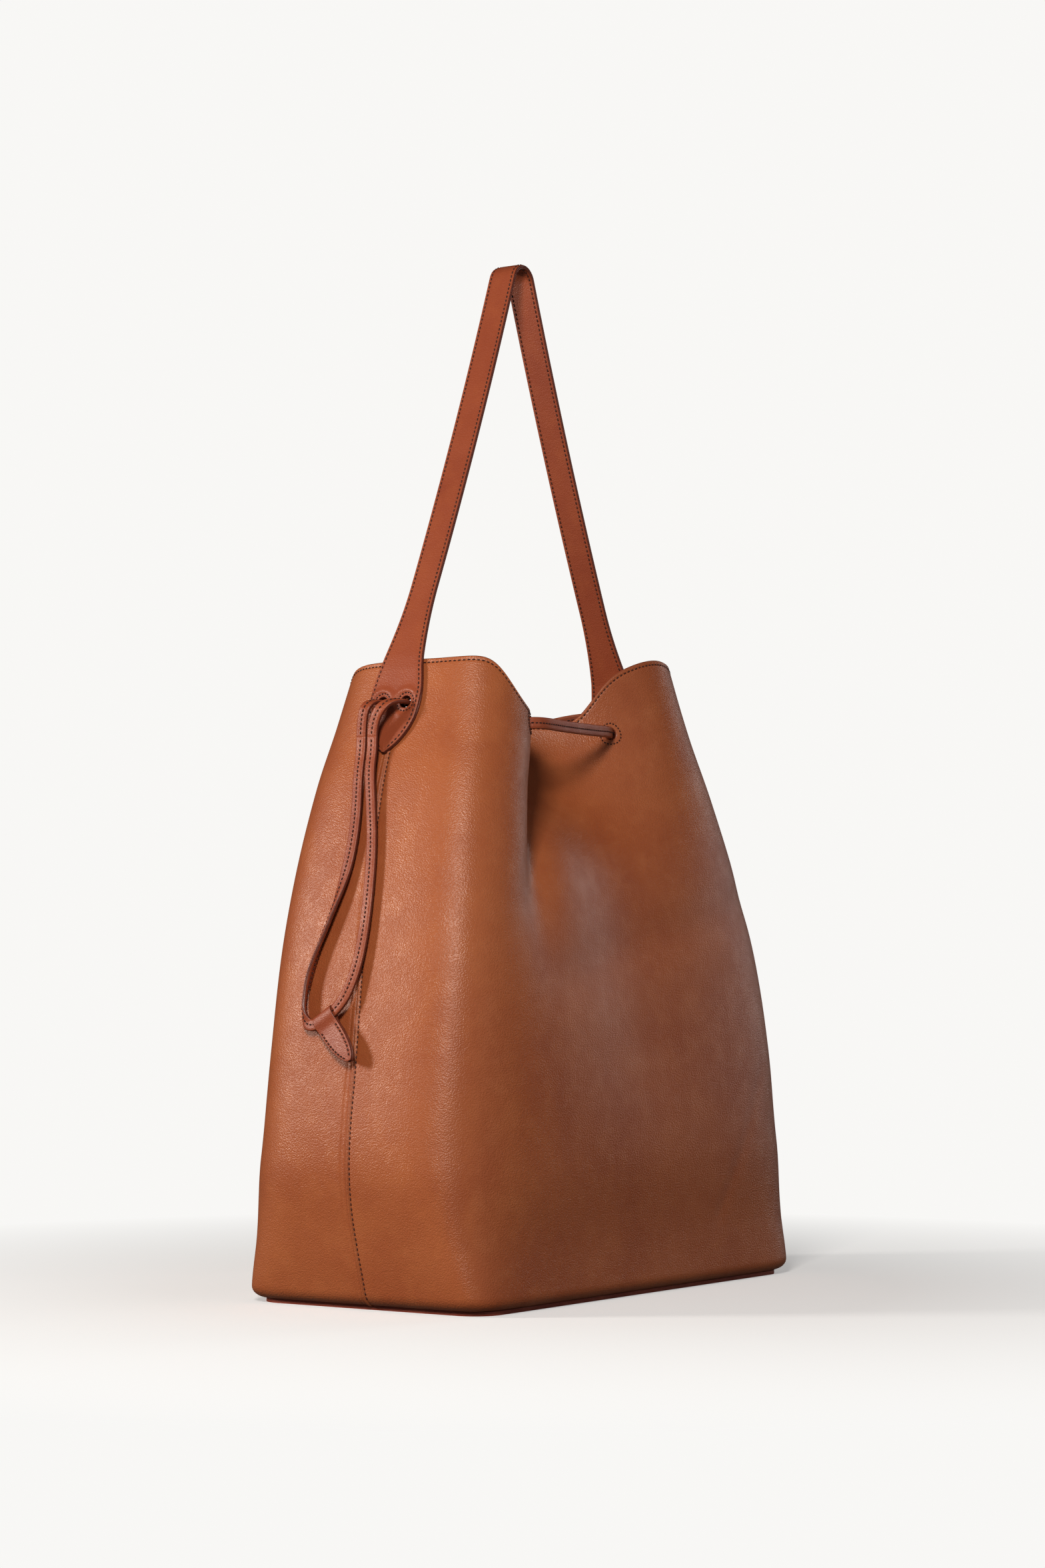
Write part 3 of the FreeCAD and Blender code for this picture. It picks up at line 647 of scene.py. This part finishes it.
def panel_surface(front, depth=0.0):
    """The wall's surface over one panel: u is metres from a seam, and v metres up to the rim."""
    reach, shares = even_turns(front)
    width = reach[-1]

    def angle_at(u, z):
        start, edge, swing = panel_turns(z, front)
        turn = start + edge + (math.pi - 2 * edge) * np.interp(u, reach, shares)
        return turn + swing * np.cos(turn)

    def place(u, v):
        u, v = matched(u, v)
        top = rim_z(angle_at(u, np.full_like(u, RIM_HEIGHT)))
        z = WALL_FOOT + v / RIM_HEIGHT * (top - WALL_FOOT)
        angle = angle_at(u, z)
        points = wall_at(angle, z)
        seam = np.minimum(u, width - u)
        # The front panel's edge stands proud, the leather turns in at the seam, and the threads sink in.
        relief = 0.0009 * bump((seam - 0.0015) / 0.0011) * front
        relief = relief - 0.0005 * bump((seam - SEAM_INSET) / 0.0006) - 0.0004 * bump(seam / 0.0006)
        relief = relief - 0.00035 * bump((v - RIM_HEIGHT + RIM_INSET) / 0.0007)
        return points + wall_normal(angle, z) * (relief * (depth == 0) - depth)[..., None]

    return place, width


def graded(total, first_steps, last_steps, cell):
    """Grid lines from 0 to total, with given steps at each end and even ones between."""
    start, end = (np.concatenate(([0.0], np.cumsum(steps))) for steps in (first_steps, last_steps))
    end = total - end[::-1]
    count = max(2, int(round((end[0] - start[-1]) / cell)))
    middle = np.linspace(start[-1], end[0], count + 1)[1:-1]
    return np.concatenate((start, middle, end))


SEAM_STEPS = (0.0004, 0.0005, 0.0005, 0.0006, 0.0006, 0.0006, 0.0006, 0.0009, 0.0014)
RIM_STEPS = (0.0004, 0.0006, 0.0007, 0.0006, 0.0006, 0.0007, 0.0010, 0.0015)
FOOT_STEPS = (0.0004, 0.0006, 0.0008, 0.0010, 0.0013, 0.0016, 0.0020)


def eyelet(front, side):
    x = (FRONT_EYELETS if front else BACK_EYELETS)[0 if side < 0 else 1]
    angle = angle_of_long_side(x, EYELET_Z, front)
    return wall_at(angle, EYELET_Z), wall_normal(angle, EYELET_Z)


def tab_hole(front, side):
    z = np.array(TAB_HOLE_Z)
    y = seam_y(z) + (-TAB_HOLE_SPACING / 2 if front else TAB_HOLE_SPACING / 2)
    angle = angle_of_end(y, z, side)
    return wall_at(angle, z), wall_normal(angle, z)


def hole_targets(front, depth):
    found = [eyelet(front, -1), eyelet(front, 1), tab_hole(front, -1), tab_hole(front, 1)]
    return [(centre - normal * depth, HOLE_RADIUS) for centre, normal in found]


def make_panel(node, front):
    """One panel of the body, stitched along the rim and round the eyelets; the front one also at the seams."""
    place, width = panel_surface(front)
    us = graded(width, SEAM_STEPS, SEAM_STEPS, CELL)
    vs = graded(RIM_HEIGHT, FOOT_STEPS, RIM_STEPS, CELL)
    holes = hole_targets(front, 0.0)
    piece = leather_sheet(node + "_leather", place, us, vs, WALL, (BODY, FLESH, RAW_EDGE), holes)
    dress([piece], "root")
    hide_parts(node)
    across = np.linspace(0.004, width - 0.004, 900)
    rim = surface_line(place, across, np.full_like(across, RIM_HEIGHT - RIM_INSET))
    rings = [ring_line(place, find_hole(place, us, vs, *hole), EYELET_RING) for hole in holes[:2]]
    up = np.linspace(0.004, RIM_HEIGHT - 0.004, 500)
    seams = [surface_line(place, np.full_like(up, at), up) for at in (SEAM_INSET, width - SEAM_INSET)]
    lines = [rim] + (seams if front else [])
    thread = stitching(node + "_stitching", lines)
    ring_thread = stitching(node + "_hole_stitching", rings, **SHORT_STITCH)
    dress([thread, ring_thread], "root")


def make_facing(node, front):
    """The lining strip inside one panel's mouth, stitched along both of its edges."""
    depth = WALL + FACING_GAP
    place, width = panel_surface(front, depth)
    us = graded(width, SEAM_STEPS, SEAM_STEPS, CELL * 1.4)
    vs = RIM_HEIGHT - FACING_HEIGHT + graded(FACING_HEIGHT, RIM_STEPS, RIM_STEPS, CELL * 1.4)
    holes = hole_targets(front, depth)
    piece = leather_sheet(node + "_leather", place, us, vs, FACING, (FLESH, LINING, RAW_EDGE), holes)
    dress([piece], "root")
    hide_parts(node)
    across = np.linspace(0.004, width - 0.004, 900)
    lines = []
    for v in (RIM_HEIGHT - RIM_INSET, RIM_HEIGHT - FACING_HEIGHT + 0.003):
        points, normals = surface_line(place, across, np.full_like(across, v))
        lines.append((points - normals * FACING, -normals))
    dress([stitching(node + "_stitching", lines)], "root")


# ---------------- strap
def bezier(poles, count):
    t = np.linspace(0, 1, count + 1)[1:, None]
    p = np.array(poles, float)
    return (1 - t) ** 3 * p[0] + 3 * t * (1 - t) ** 2 * p[1] + 3 * t**2 * (1 - t) * p[2] + t**3 * p[3]


def tab_outline():
    """Half width and height of the strap from the leaf's tip up to its even width."""
    tip = [(0, 0.400), (0.013, 0.408), (0.0225, 0.422), (0.0225, 0.440)]
    waist = [(0.0225, 0.440), (0.0225, 0.452), (0.0193, 0.461), (0.0175, 0.470)]
    flare = [(0.0175, 0.470), (0.0143, 0.486), (0.0115, 0.506), (0.0115, 0.528)]
    rows = np.concatenate((bezier(tip, 26), bezier(waist, 16), bezier(flare, 26)))
    blunt = np.array([(0.0008, 0.4003)])
    return np.concatenate((blunt, rows))


def strap_line():
    """The strap's middle line from leaf to leaf, as rows of x, z and half width."""
    foot = np.array([STRAP_FOOT_Z, STRAP_FOOT_Z + 0.001])
    half_width = table_at(SECTIONS, foot)[0]
    slope = (half_width[0] - half_width[1]) / 0.001
    out = TAB_GAP + STRAP_THICKNESS / 2
    x0, z0 = half_width[0] + out * math.hypot(1, slope), STRAP_FOOT_Z
    tilt, bend = STRAP_TOP_ANGLE, STRAP_BEND_RADIUS
    bend_z = STRAP_TOP - STRAP_THICKNESS / 2 - bend
    x1, z1 = bend * math.cos(tilt), bend_z + bend * math.sin(tilt)
    chord, chord_tilt = math.hypot(x0 - x1, z1 - z0), math.atan2(x0 - x1, z1 - z0)
    radius = chord / 2 / math.sin(chord_tilt - tilt)
    centre = (x1 + radius * math.cos(tilt), z1 + radius * math.sin(tilt))
    outline = tab_outline()
    low = outline[outline[:, 1] < STRAP_FOOT_Z - 0.004]
    on_wall = table_at(SECTIONS, low[:, 1])[0] + out * 1.05
    tab = np.column_stack((on_wall, low[:, 1], low[:, 0]))
    turn_start = math.asin((centre[1] - (STRAP_FOOT_Z + 0.004)) / radius)
    turns = np.linspace(turn_start, tilt, 190)
    leg_z = centre[1] - radius * np.sin(turns)
    widths = np.interp(leg_z, outline[:, 1], outline[:, 0])
    leg = np.column_stack((centre[0] - radius * np.cos(turns), leg_z, widths))
    over = np.linspace(tilt, math.pi / 2, 24)[1:]
    top = np.column_stack((bend * np.cos(over), bend_z + bend * np.sin(over)))
    top = np.column_stack((top, np.full(len(top), STRAP_HALF_WIDTH)))
    right = np.concatenate((tab, leg, top))
    left = right[:-1] * (-1, 1, 1)
    line = np.concatenate((left, right[::-1]))
    line[:, 0] += TOP_SHIFT[0] * lean(line[:, 1])
    return line


def strap_surface(offset):
    """The strap's surface at an offset from its middle: u is metres along it, v from -1 to 1 across."""
    line = strap_line()
    reach = distances(line[:, :2])

    def place(u, v):
        u, v = matched(u, v)
        (x, z, half_width), nx, nz = followed(line, reach, u, 0.004)
        side = np.where(x < 0, -1.0, 1.0)
        y = STRAP_Y + v * half_width
        low = np.minimum(z, 0.49)
        here = wall_at(angle_of_end(y, low, side), low)[..., 0]
        middle = wall_at(angle_of_end(np.full_like(y, STRAP_Y), low, side), low)[..., 0]
        follow = (here - middle) * (1 - smooth((z - 0.462) / 0.022))
        edge = half_width * (1 - np.abs(v))
        groove = -0.00030 * bump((edge - STRAP_INSET) / 0.0006) - 0.0003 * bump(edge / 0.0005)
        crown = 0.0003 * smooth(edge / 0.006)
        outer = offset + (groove + crown + tab_pucker(y, z)) * (offset > 0)
        return np.stack((x + follow + nx * outer, y, z + nz * outer), axis=-1)

    return place, reach[-1]


def tab_pucker(y, z):
    """The tab's leather bulges round its two holes, most of all above them."""
    lift = 0.0
    for across in (-TAB_HOLE_SPACING / 2, TAB_HOLE_SPACING / 2):
        dy, dz = y - STRAP_Y - across, z - TAB_HOLE_Z
        away = np.hypot(dy, dz)
        lift = lift + (0.0006 + 0.0006 * smooth(dz / 0.008)) * bump((away - 0.0098) / 0.0022)
        lift = lift - 0.0005 * bump((away - 0.0072) / 0.0011)
    return lift


def strap_holes(offset):
    found = [tab_hole(front, side) for front in (True, False) for side in (-1, 1)]
    return [(centre + normal * offset, HOLE_RADIUS) for centre, normal in found]


# Grid lines across a narrow strip, from -1 to 1, closer together near its edges.
ACROSS = np.array([0.0, 0.035, 0.09, 0.14, 0.18, 0.22, 0.28, 0.36, 0.46, 0.57, 0.68, 0.79, 0.90, 1.0])
ACROSS = np.concatenate((ACROSS - 1, (1 - ACROSS[:-1])[::-1]))


def strap_lengthways(total):
    near_tip = np.concatenate((np.full(4, 0.0006), np.full(32, 0.0016)))
    return graded(total, near_tip, near_tip, 0.0026)


def bend_strap(piece):
    """Bakes a strap piece's transform into its mesh."""
    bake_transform(piece)


def edge_lines(place, total, flip):
    """The two stitch lines of the strap, a little inside its edges and round each leaf's tip."""
    line = strap_line()
    reach = distances(line[:, :2])
    us = np.linspace(0.0035, total - 0.0035, 1600)
    share = 1 - STRAP_INSET / np.maximum(np.interp(us, reach, line[:, 2]), STRAP_INSET * 1.02)
    lines = []
    for side in (-1, 1):
        points, normals = surface_line(place, us, share * side)
        lines.append((points, -normals if flip else normals))
    return lines


def make_strap():
    """The strap from leaf to leaf: an outer leather and a lining, stitched on both faces."""
    half = STRAP_THICKNESS / 2
    outer, total = strap_surface(half + 0.0002)
    inner, _ = strap_surface(-0.0001)
    us = strap_lengthways(total)
    holes = strap_holes(TAB_GAP + STRAP_THICKNESS)
    lining_holes = strap_holes(TAB_GAP + STRAP_LINING)
    face = leather_sheet("strap_leather", outer, us, ACROSS, STRAP_FACE, (TRIM, LINING, EDGE), holes, 0.3)
    back = leather_sheet(
        "strap_lining_leather", inner, us, ACROSS, STRAP_LINING, (LINING, TRIM, EDGE), lining_holes, 0.3)
    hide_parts("strap_outer", "left_tab_outer", "right_tab_outer")
    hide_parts("strap_lining", "left_tab_lining", "right_tab_lining")
    rings = [ring_line(outer, find_hole(outer, us, ACROSS, *hole), TAB_RING) for hole in holes]
    outside = stitching("strap_stitching", edge_lines(outer, total, False))
    under, _ = strap_surface(-half)
    inside = stitching("strap_lining_stitching", edge_lines(under, total, True))
    ring_thread = stitching("tab_hole_stitching", rings, **SHORT_STITCH)
    for piece in (face, back, outside, inside, ring_thread):
        bend_strap(piece)


# ---------------- drawstring
def route_line(points):
    """The smooth line of a route, a NURBS curve with the route's points as its control points."""
    data = bpy.data.curves.new("route", "CURVE")
    data.dimensions = "3D"
    spline = data.splines.new("NURBS")
    spline.points.add(len(points) - 1)
    for control, point in zip(spline.points, points):
        control.co = (*point, 1.0)
    spline.order_u = 3
    spline.use_endpoint_u = True
    spline.resolution_u = 24
    curve = add_object("route", data)
    mesh = bpy.data.meshes.new_from_object(curve)
    line = np.array([v.co for v in mesh.vertices])
    bpy.data.objects.remove(curve)
    bpy.data.curves.remove(data)
    bpy.data.meshes.remove(mesh)
    return line


CORD_SECTION_TURNS = np.linspace(0, 2 * math.pi, 29)[:-1]
CORD_STEP = 0.0016


def cord_frames(points, facing):
    """Even points along a route, their tangents and face normals; facing has (share, direction) rows."""
    line = route_line(points)
    reach = distances(line)
    at = np.linspace(0, reach[-1], int(reach[-1] / CORD_STEP) + 1)
    middle = along_path(line, reach, at)
    tangent = unit(np.gradient(middle, axis=0))
    shares = np.array([row[0] for row in facing])
    ways = np.array([row[1] for row in facing], float)
    now = at / reach[-1]
    k = np.clip(np.searchsorted(shares, now, side="right") - 1, 0, len(shares) - 2)
    t = smooth((now - shares[k]) / (shares[k + 1] - shares[k]))[:, None]
    way = ways[k] * (1 - t) + ways[k + 1] * t
    normal = unit(way - tangent * np.sum(way * tangent, axis=1, keepdims=True))
    return middle, tangent, normal


def flat_cord(node, points, facing, body):
    """A flat cord of folded leather in a node's place, sewn down its middle, with rounded ends."""
    name = node + "_leather"
    points = [np.asarray(point, float) for point in points]
    points[0] = points[0] + unit(points[0] - points[1]) * CORD_THICKNESS / 2
    points[-1] = points[-1] + unit(points[-1] - points[-2]) * CORD_THICKNESS / 2
    middle, tangent, normal = cord_frames(points, facing)
    side = np.cross(tangent, normal)
    turns = CORD_SECTION_TURNS
    across = np.sign(np.cos(turns)) * np.abs(np.cos(turns)) ** 0.55 * CORD_WIDTH / 2
    up = np.sign(np.sin(turns)) * np.abs(np.sin(turns)) ** 0.62 * CORD_THICKNESS / 2
    up = up * (1 - 0.16 * bump(across / 0.0009))
    from_end = np.minimum(np.arange(len(middle)), np.arange(len(middle))[::-1]) * CORD_STEP
    round_off = np.sqrt(1 - np.clip(1 - from_end / (CORD_THICKNESS / 2), 0, 0.97) ** 2)
    rings = middle[:, None] + side[:, None] * across[None, :, None]
    rings = rings + normal[:, None] * (up[None] * round_off[:, None])[..., None]
    n, m = len(middle), len(turns)
    start = np.arange(n - 1)[:, None] * m
    k = np.arange(m)[None]
    after = (k + 1) % m
    quads = np.stack((start + k, start + after, start + m + after, start + m + k), axis=-1).reshape(-1, 4)
    caps = [list(range(m))[::-1], list(range((n - 1) * m, n * m))]
    on_edge = np.abs(across + np.roll(across, -1)) / 2 > CORD_WIDTH * 0.455
    indices = np.append(np.tile(on_edge, n - 1), (1, 1))
    piece = make_object(name, rings.reshape(-1, 3), quads.tolist() + caps, [TRIM, EDGE], indices)
    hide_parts(node)
    line, normal = middle[2:-2], normal[2:-2]
    lift = CORD_THICKNESS / 2 * 0.84
    faces = [(line + normal * (way * lift), normal * way) for way in (1, -1)]
    thread = stitching(name + "_stitching", faces, pitch=0.0033, length=0.0025, slant=0.0)
    dress([piece, thread], body)
    return piece, middle


def sleeve_axis():
    return np.array((0, math.cos(SLEEVE_TILT), -math.sin(SLEEVE_TILT)))


def swing_point(y, side):
    """Where a strand of a loop starts, on the axis that the loop swings about."""
    middle = beside_end((FRONT_STRAND_Y + BACK_STRAND_Y) / 2, STRAND_OUT, SWING_Z, side)
    return np.array((middle[0], y, SWING_Z))


def loop_points(side):
    """A loop's route, from the front strand's start round through the pull to the back strand's."""
    middle = beside_end(*SLEEVE_MIDDLE, side)
    reach = SLEEVE_HALF_LENGTH + 0.0058
    drop = np.array((0, 0, -STRAND_DROP))
    front, back = swing_point(FRONT_STRAND_Y, side), swing_point(BACK_STRAND_Y, side)
    return [
        front,
        front + drop,
        *[beside_end(*point, side) for point in LOOP_DOWN],
        middle - sleeve_axis() * reach,
        middle + sleeve_axis() * reach,
        *[beside_end(*point, side) for point in LOOP_UP],
        back + drop,
        back,
    ]


def end_points(front, side):
    """A drawstring's route at one end: from the loop up, in by the tab's hole, and out by the eyelet."""
    y = FRONT_STRAND_Y if front else BACK_STRAND_Y
    hole, out_of_hole = tab_hole(front, side)
    centre, out_of_eyelet = eyelet(front, side)
    foot = swing_point(y, side)
    over = hole + out_of_hole * 0.0085
    return [
        foot,
        foot + (0, 0, 0.010),
        np.array((foot[0], 0.5 * (foot[1] + over[1]), hole[2] - 0.001)),
        over,
        hole - out_of_hole * 0.012,
        centre - out_of_eyelet * 0.010,
        centre + out_of_eyelet * 0.007,
    ]


def drawstring_points(front):
    left, right = end_points(front, -1), end_points(front, 1)
    start, end = left[-1], right[-1]
    out = np.array((0, -0.0015 if front else 0.0015, -0.001))
    span = [start + (end - start) * share + out for share in (0.28, 0.72)]
    return left + span + right[::-1]


def make_drawstring(name, front):
    """The drawstring that stays in the body: edge up in the tab holes and upright in the eyelets."""
    out = -1 if front else 1
    half = [
        (0.0, (-1, 0, 0)), (0.045, (-1, 0, 0)), (0.085, (-0.5, 0, 1)), (0.125, (0, 0, 1)),
        (0.175, (0, 0, 1)), (0.25, (-0.7, 0, 0.7)), (0.315, (-1, 0, 0)), (0.345, (-0.8, out * 0.6, 0)),
        (0.385, (0, out, 0)),
    ]
    facing = half + [(1 - share, (-way[0], way[1], way[2])) for share, way in half[::-1]]
    flat_cord(name, drawstring_points(front), facing, "root")


def make_loop(name, side):
    """A hanging loop: its strands lie flat to the wall and twist to pass upright round the bottom."""
    out, back, front = (side, 0, 0), (side * 0.25, 1, 0.1), (side, -0.1, 0.3)
    facing = [
        (0.0, out), (0.40, out), (0.455, front), (0.505, front), (0.555, (side * 0.6, 0.8, -0.6)),
        (0.60, back), (0.68, (side * 0.7, 0.9, 0)), (0.80, out), (1.0, out),
    ]
    return flat_cord(name, loop_points(side), facing, name.replace("_drawstring", ""))


# ---------------- pulls
def pull_half_width(down):
    """Half the leaf's width at a distance down from the cord: even at first, then rounded to its tip."""
    return PULL_HALF_WIDTH * (1 - np.clip((down - 0.012) / 0.0285, 0, 1) ** 2.3) ** 0.62


def pull_surface(side):
    """The pull's leather: u is metres from one tip over the cord to the other, v from -1 to 1 across."""
    middle = beside_end(*SLEEVE_MIDDLE, side)
    axis = sleeve_axis()
    lean_out = math.radians(9)
    down = np.array((side * math.tan(lean_out), axis[2], -axis[1])) * math.cos(lean_out)
    through = np.cross(axis, down) * -side
    gap, throat, half_height, half_depth = 0.0016, 0.0085, 0.0060, 0.0034
    over = np.linspace(0, math.pi, 41)
    wrap = np.column_stack((-half_height * np.sin(over) ** 0.8, half_depth * np.cos(over)))
    ease = np.linspace(0, 1, 13)[:, None]
    front = np.column_stack((throat * (1 - ease), gap + (half_depth - gap) * smooth(ease)))
    tip = np.column_stack((np.linspace(PULL_LENGTH, throat, 30)[:-1], np.full(29, gap)))
    front = np.concatenate((tip, front[:-1]))
    profile = np.concatenate((front, wrap, front[::-1] * (1, -1)))
    reach = distances(profile)

    def place(u, v):
        u, v = matched(u, v)
        (d, n), out_d, out_n = followed(profile, reach, u, 0.0008)
        half_width = np.maximum(pull_half_width(d), 0.0006)
        edge = half_width * (1 - np.abs(v))
        groove = -0.00028 * bump((edge - PULL_INSET) / 0.0006) * smooth((d - 0.004) / 0.004)
        d, n = d + out_d * groove, n + out_n * groove
        slant = -LEAF_SLANT * np.maximum(d - 0.005, 0.0)
        across = slant - side * v * half_width
        return middle + down * d[..., None] + through * n[..., None] + axis * across[..., None]

    return place, reach[-1]


def make_pull(node, side, body):
    """A pull: one strip of leather folded over the loop, its two leaves sewn together."""
    place, total = pull_surface(side)
    us = graded(total, (0.0004,) * 4, (0.0004,) * 4, 0.0011)
    piece = leather_sheet(node + "_leather", place, us, ACROSS, PULL_LEATHER, (TRIM, LINING, EDGE))
    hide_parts(node)
    at = np.linspace(0.0026, 0.0315, 240)
    share = 1 - PULL_INSET / np.maximum(pull_half_width(PULL_LENGTH - at), 0.0020)
    lines = [surface_line(place, start, share * way) for start in (at, total - at) for way in (-1, 1)]
    thread = stitching(node + "_stitching", lines, pitch=0.0031, length=0.0023)
    dress([piece, thread], body)
    return piece


# ---------------- base
def dress_base():
    """The sole and the inner sole keep their solids, with their own leathers."""
    for node, material in (("base_panel", SOLE), ("base_insole", FLESH)):
        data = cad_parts[node].data
        data.materials.clear()
        data.materials.append(material)


# ---------------- stage, light and camera
def make_stage():
    """A pale floor that is all background colour far away, and takes soft shadows near the bag."""
    material, tree, place = new_material("floor")
    away = tree.add("VectorMath", {0: place}, operation="LENGTH").outputs["Value"]
    share = tree.remap(away, 0.28, 0.80, FLOOR_SHARE, 0.0)
    glow = tree.add("Emission", {"Color": BACKGROUND}).outputs["Emission"]
    plain = tree.add("BsdfDiffuse", {"Color": (0.88, 0.87, 0.86)}).outputs["BSDF"]
    lift = tree.remap(share, 0.0, 1.0, 0.0, FLOOR_LIFT)
    extra = tree.add("Emission", {"Strength": lift}).outputs["Emission"]
    seen = tree.add("AddShader", {0: tree.either(share, glow, plain), 1: extra}).outputs["Shader"]
    unseen = tree.add("BsdfDiffuse", {"Color": (0.22, 0.21, 0.20)}).outputs["BSDF"]
    camera_ray = tree.add("LightPath").outputs["Is Camera Ray"]
    tree.add("OutputMaterial", {"Surface": tree.either(camera_ray, unseen, seen)})
    turn = np.linspace(0, 2 * math.pi, FLOOR_SIDES + 1)[:-1]
    rim = np.column_stack((np.cos(turn), np.sin(turn), np.zeros(FLOOR_SIDES))) * FLOOR_RADIUS
    make_object("floor", rim, [list(range(FLOOR_SIDES))], [material])


def make_world():
    """The background colour for the camera, and a dim even light for everything else."""
    world = bpy.data.worlds.new("studio")
    tree = Tree(world)
    backdrop = tree.add("Background", {"Color": BACKGROUND}).outputs["Background"]
    dim = {"Color": (1.0, 0.98, 0.96), "Strength": AMBIENT}
    ambient = tree.add("Background", dim).outputs["Background"]
    camera_ray = tree.add("LightPath").outputs["Is Camera Ray"]
    tree.add("OutputWorld", {"Surface": tree.either(camera_ray, ambient, backdrop)})
    bpy.context.scene.world = world


VIEW_AZIMUTH = math.radians(55.6)  # the camera stands off the front's left corner
CAMERA_DISTANCE = 2.5675
CAMERA_HEIGHT = 0.2428
CAMERA_SIDE = -0.0067
CAMERA_PITCH = math.radians(3.17)
AIM_HEIGHT = 0.28  # the lights point here, over the middle of the base
FORWARD = np.array((math.sin(VIEW_AZIMUTH), math.cos(VIEW_AZIMUTH), 0))
RIGHTWARD = np.array((math.cos(VIEW_AZIMUTH), -math.sin(VIEW_AZIMUTH), 0))


def make_camera():
    data = bpy.data.cameras.new("camera")
    data.lens = LENS
    data.sensor_width = 36.0
    camera = add_object("camera", data)
    spot = Vector(-FORWARD * CAMERA_DISTANCE + RIGHTWARD * CAMERA_SIDE)
    camera.location = spot + Vector((0, 0, CAMERA_HEIGHT))
    camera.rotation_euler = (math.pi / 2 + CAMERA_PITCH, 0, -VIEW_AZIMUTH)
    bpy.context.scene.camera = camera


def area_light(name, left, height, near, size, power, colour):
    """A soft light aimed at the bag, placed left of it, up, and towards the camera, all in metres."""
    data = bpy.data.lights.new(name, "AREA")
    data.shape = "RECTANGLE"
    data.size, data.size_y = size
    data.energy = power
    data.color = colour
    light = add_object(name, data)
    spot = Vector(-RIGHTWARD * left - FORWARD * near) + Vector((0, 0, height))
    light.location = spot
    light.rotation_euler = (Vector((0, 0, AIM_HEIGHT)) - spot).to_track_quat("-Z", "Y").to_euler()


def make_lights():
    area_light("side", 2.27, 0.90, 0.40, (0.35, 0.5), 30, (1.0, 0.965, 0.92))
    area_light("key", 0.36, 1.30, 2.22, (0.45, 0.6), 42, (1.0, 0.97, 0.93))
    area_light("fill", -1.60, 0.70, 1.10, (1.6, 1.2), 4.5, (1.0, 0.96, 0.92))
    area_light("rim", -1.50, 0.80, -1.25, (0.6, 1.5), 6, (0.98, 0.97, 1.0))


make_camera()
make_stage()
make_world()
make_lights()
bpy.context.scene.view_settings.view_transform = "Standard"
bpy.context.scene.view_settings.gamma = 0.86

make_panel("front_panel", True)
make_panel("back_panel", False)
make_facing("front_facing", True)
make_facing("back_facing", False)
dress_base()
make_strap()
make_drawstring("front_drawstring", True)
make_drawstring("back_drawstring", False)
for end, side, length in (("left", -1, 0.459), ("right", 1, 0.468)):
    pull = make_pull(end + "_pull_tab", side, end + "_pull")
    loop, centres = make_loop(end + "_drawstring_loop", side)
    tuple(centres[0])
    [tuple(point) for point in centres]
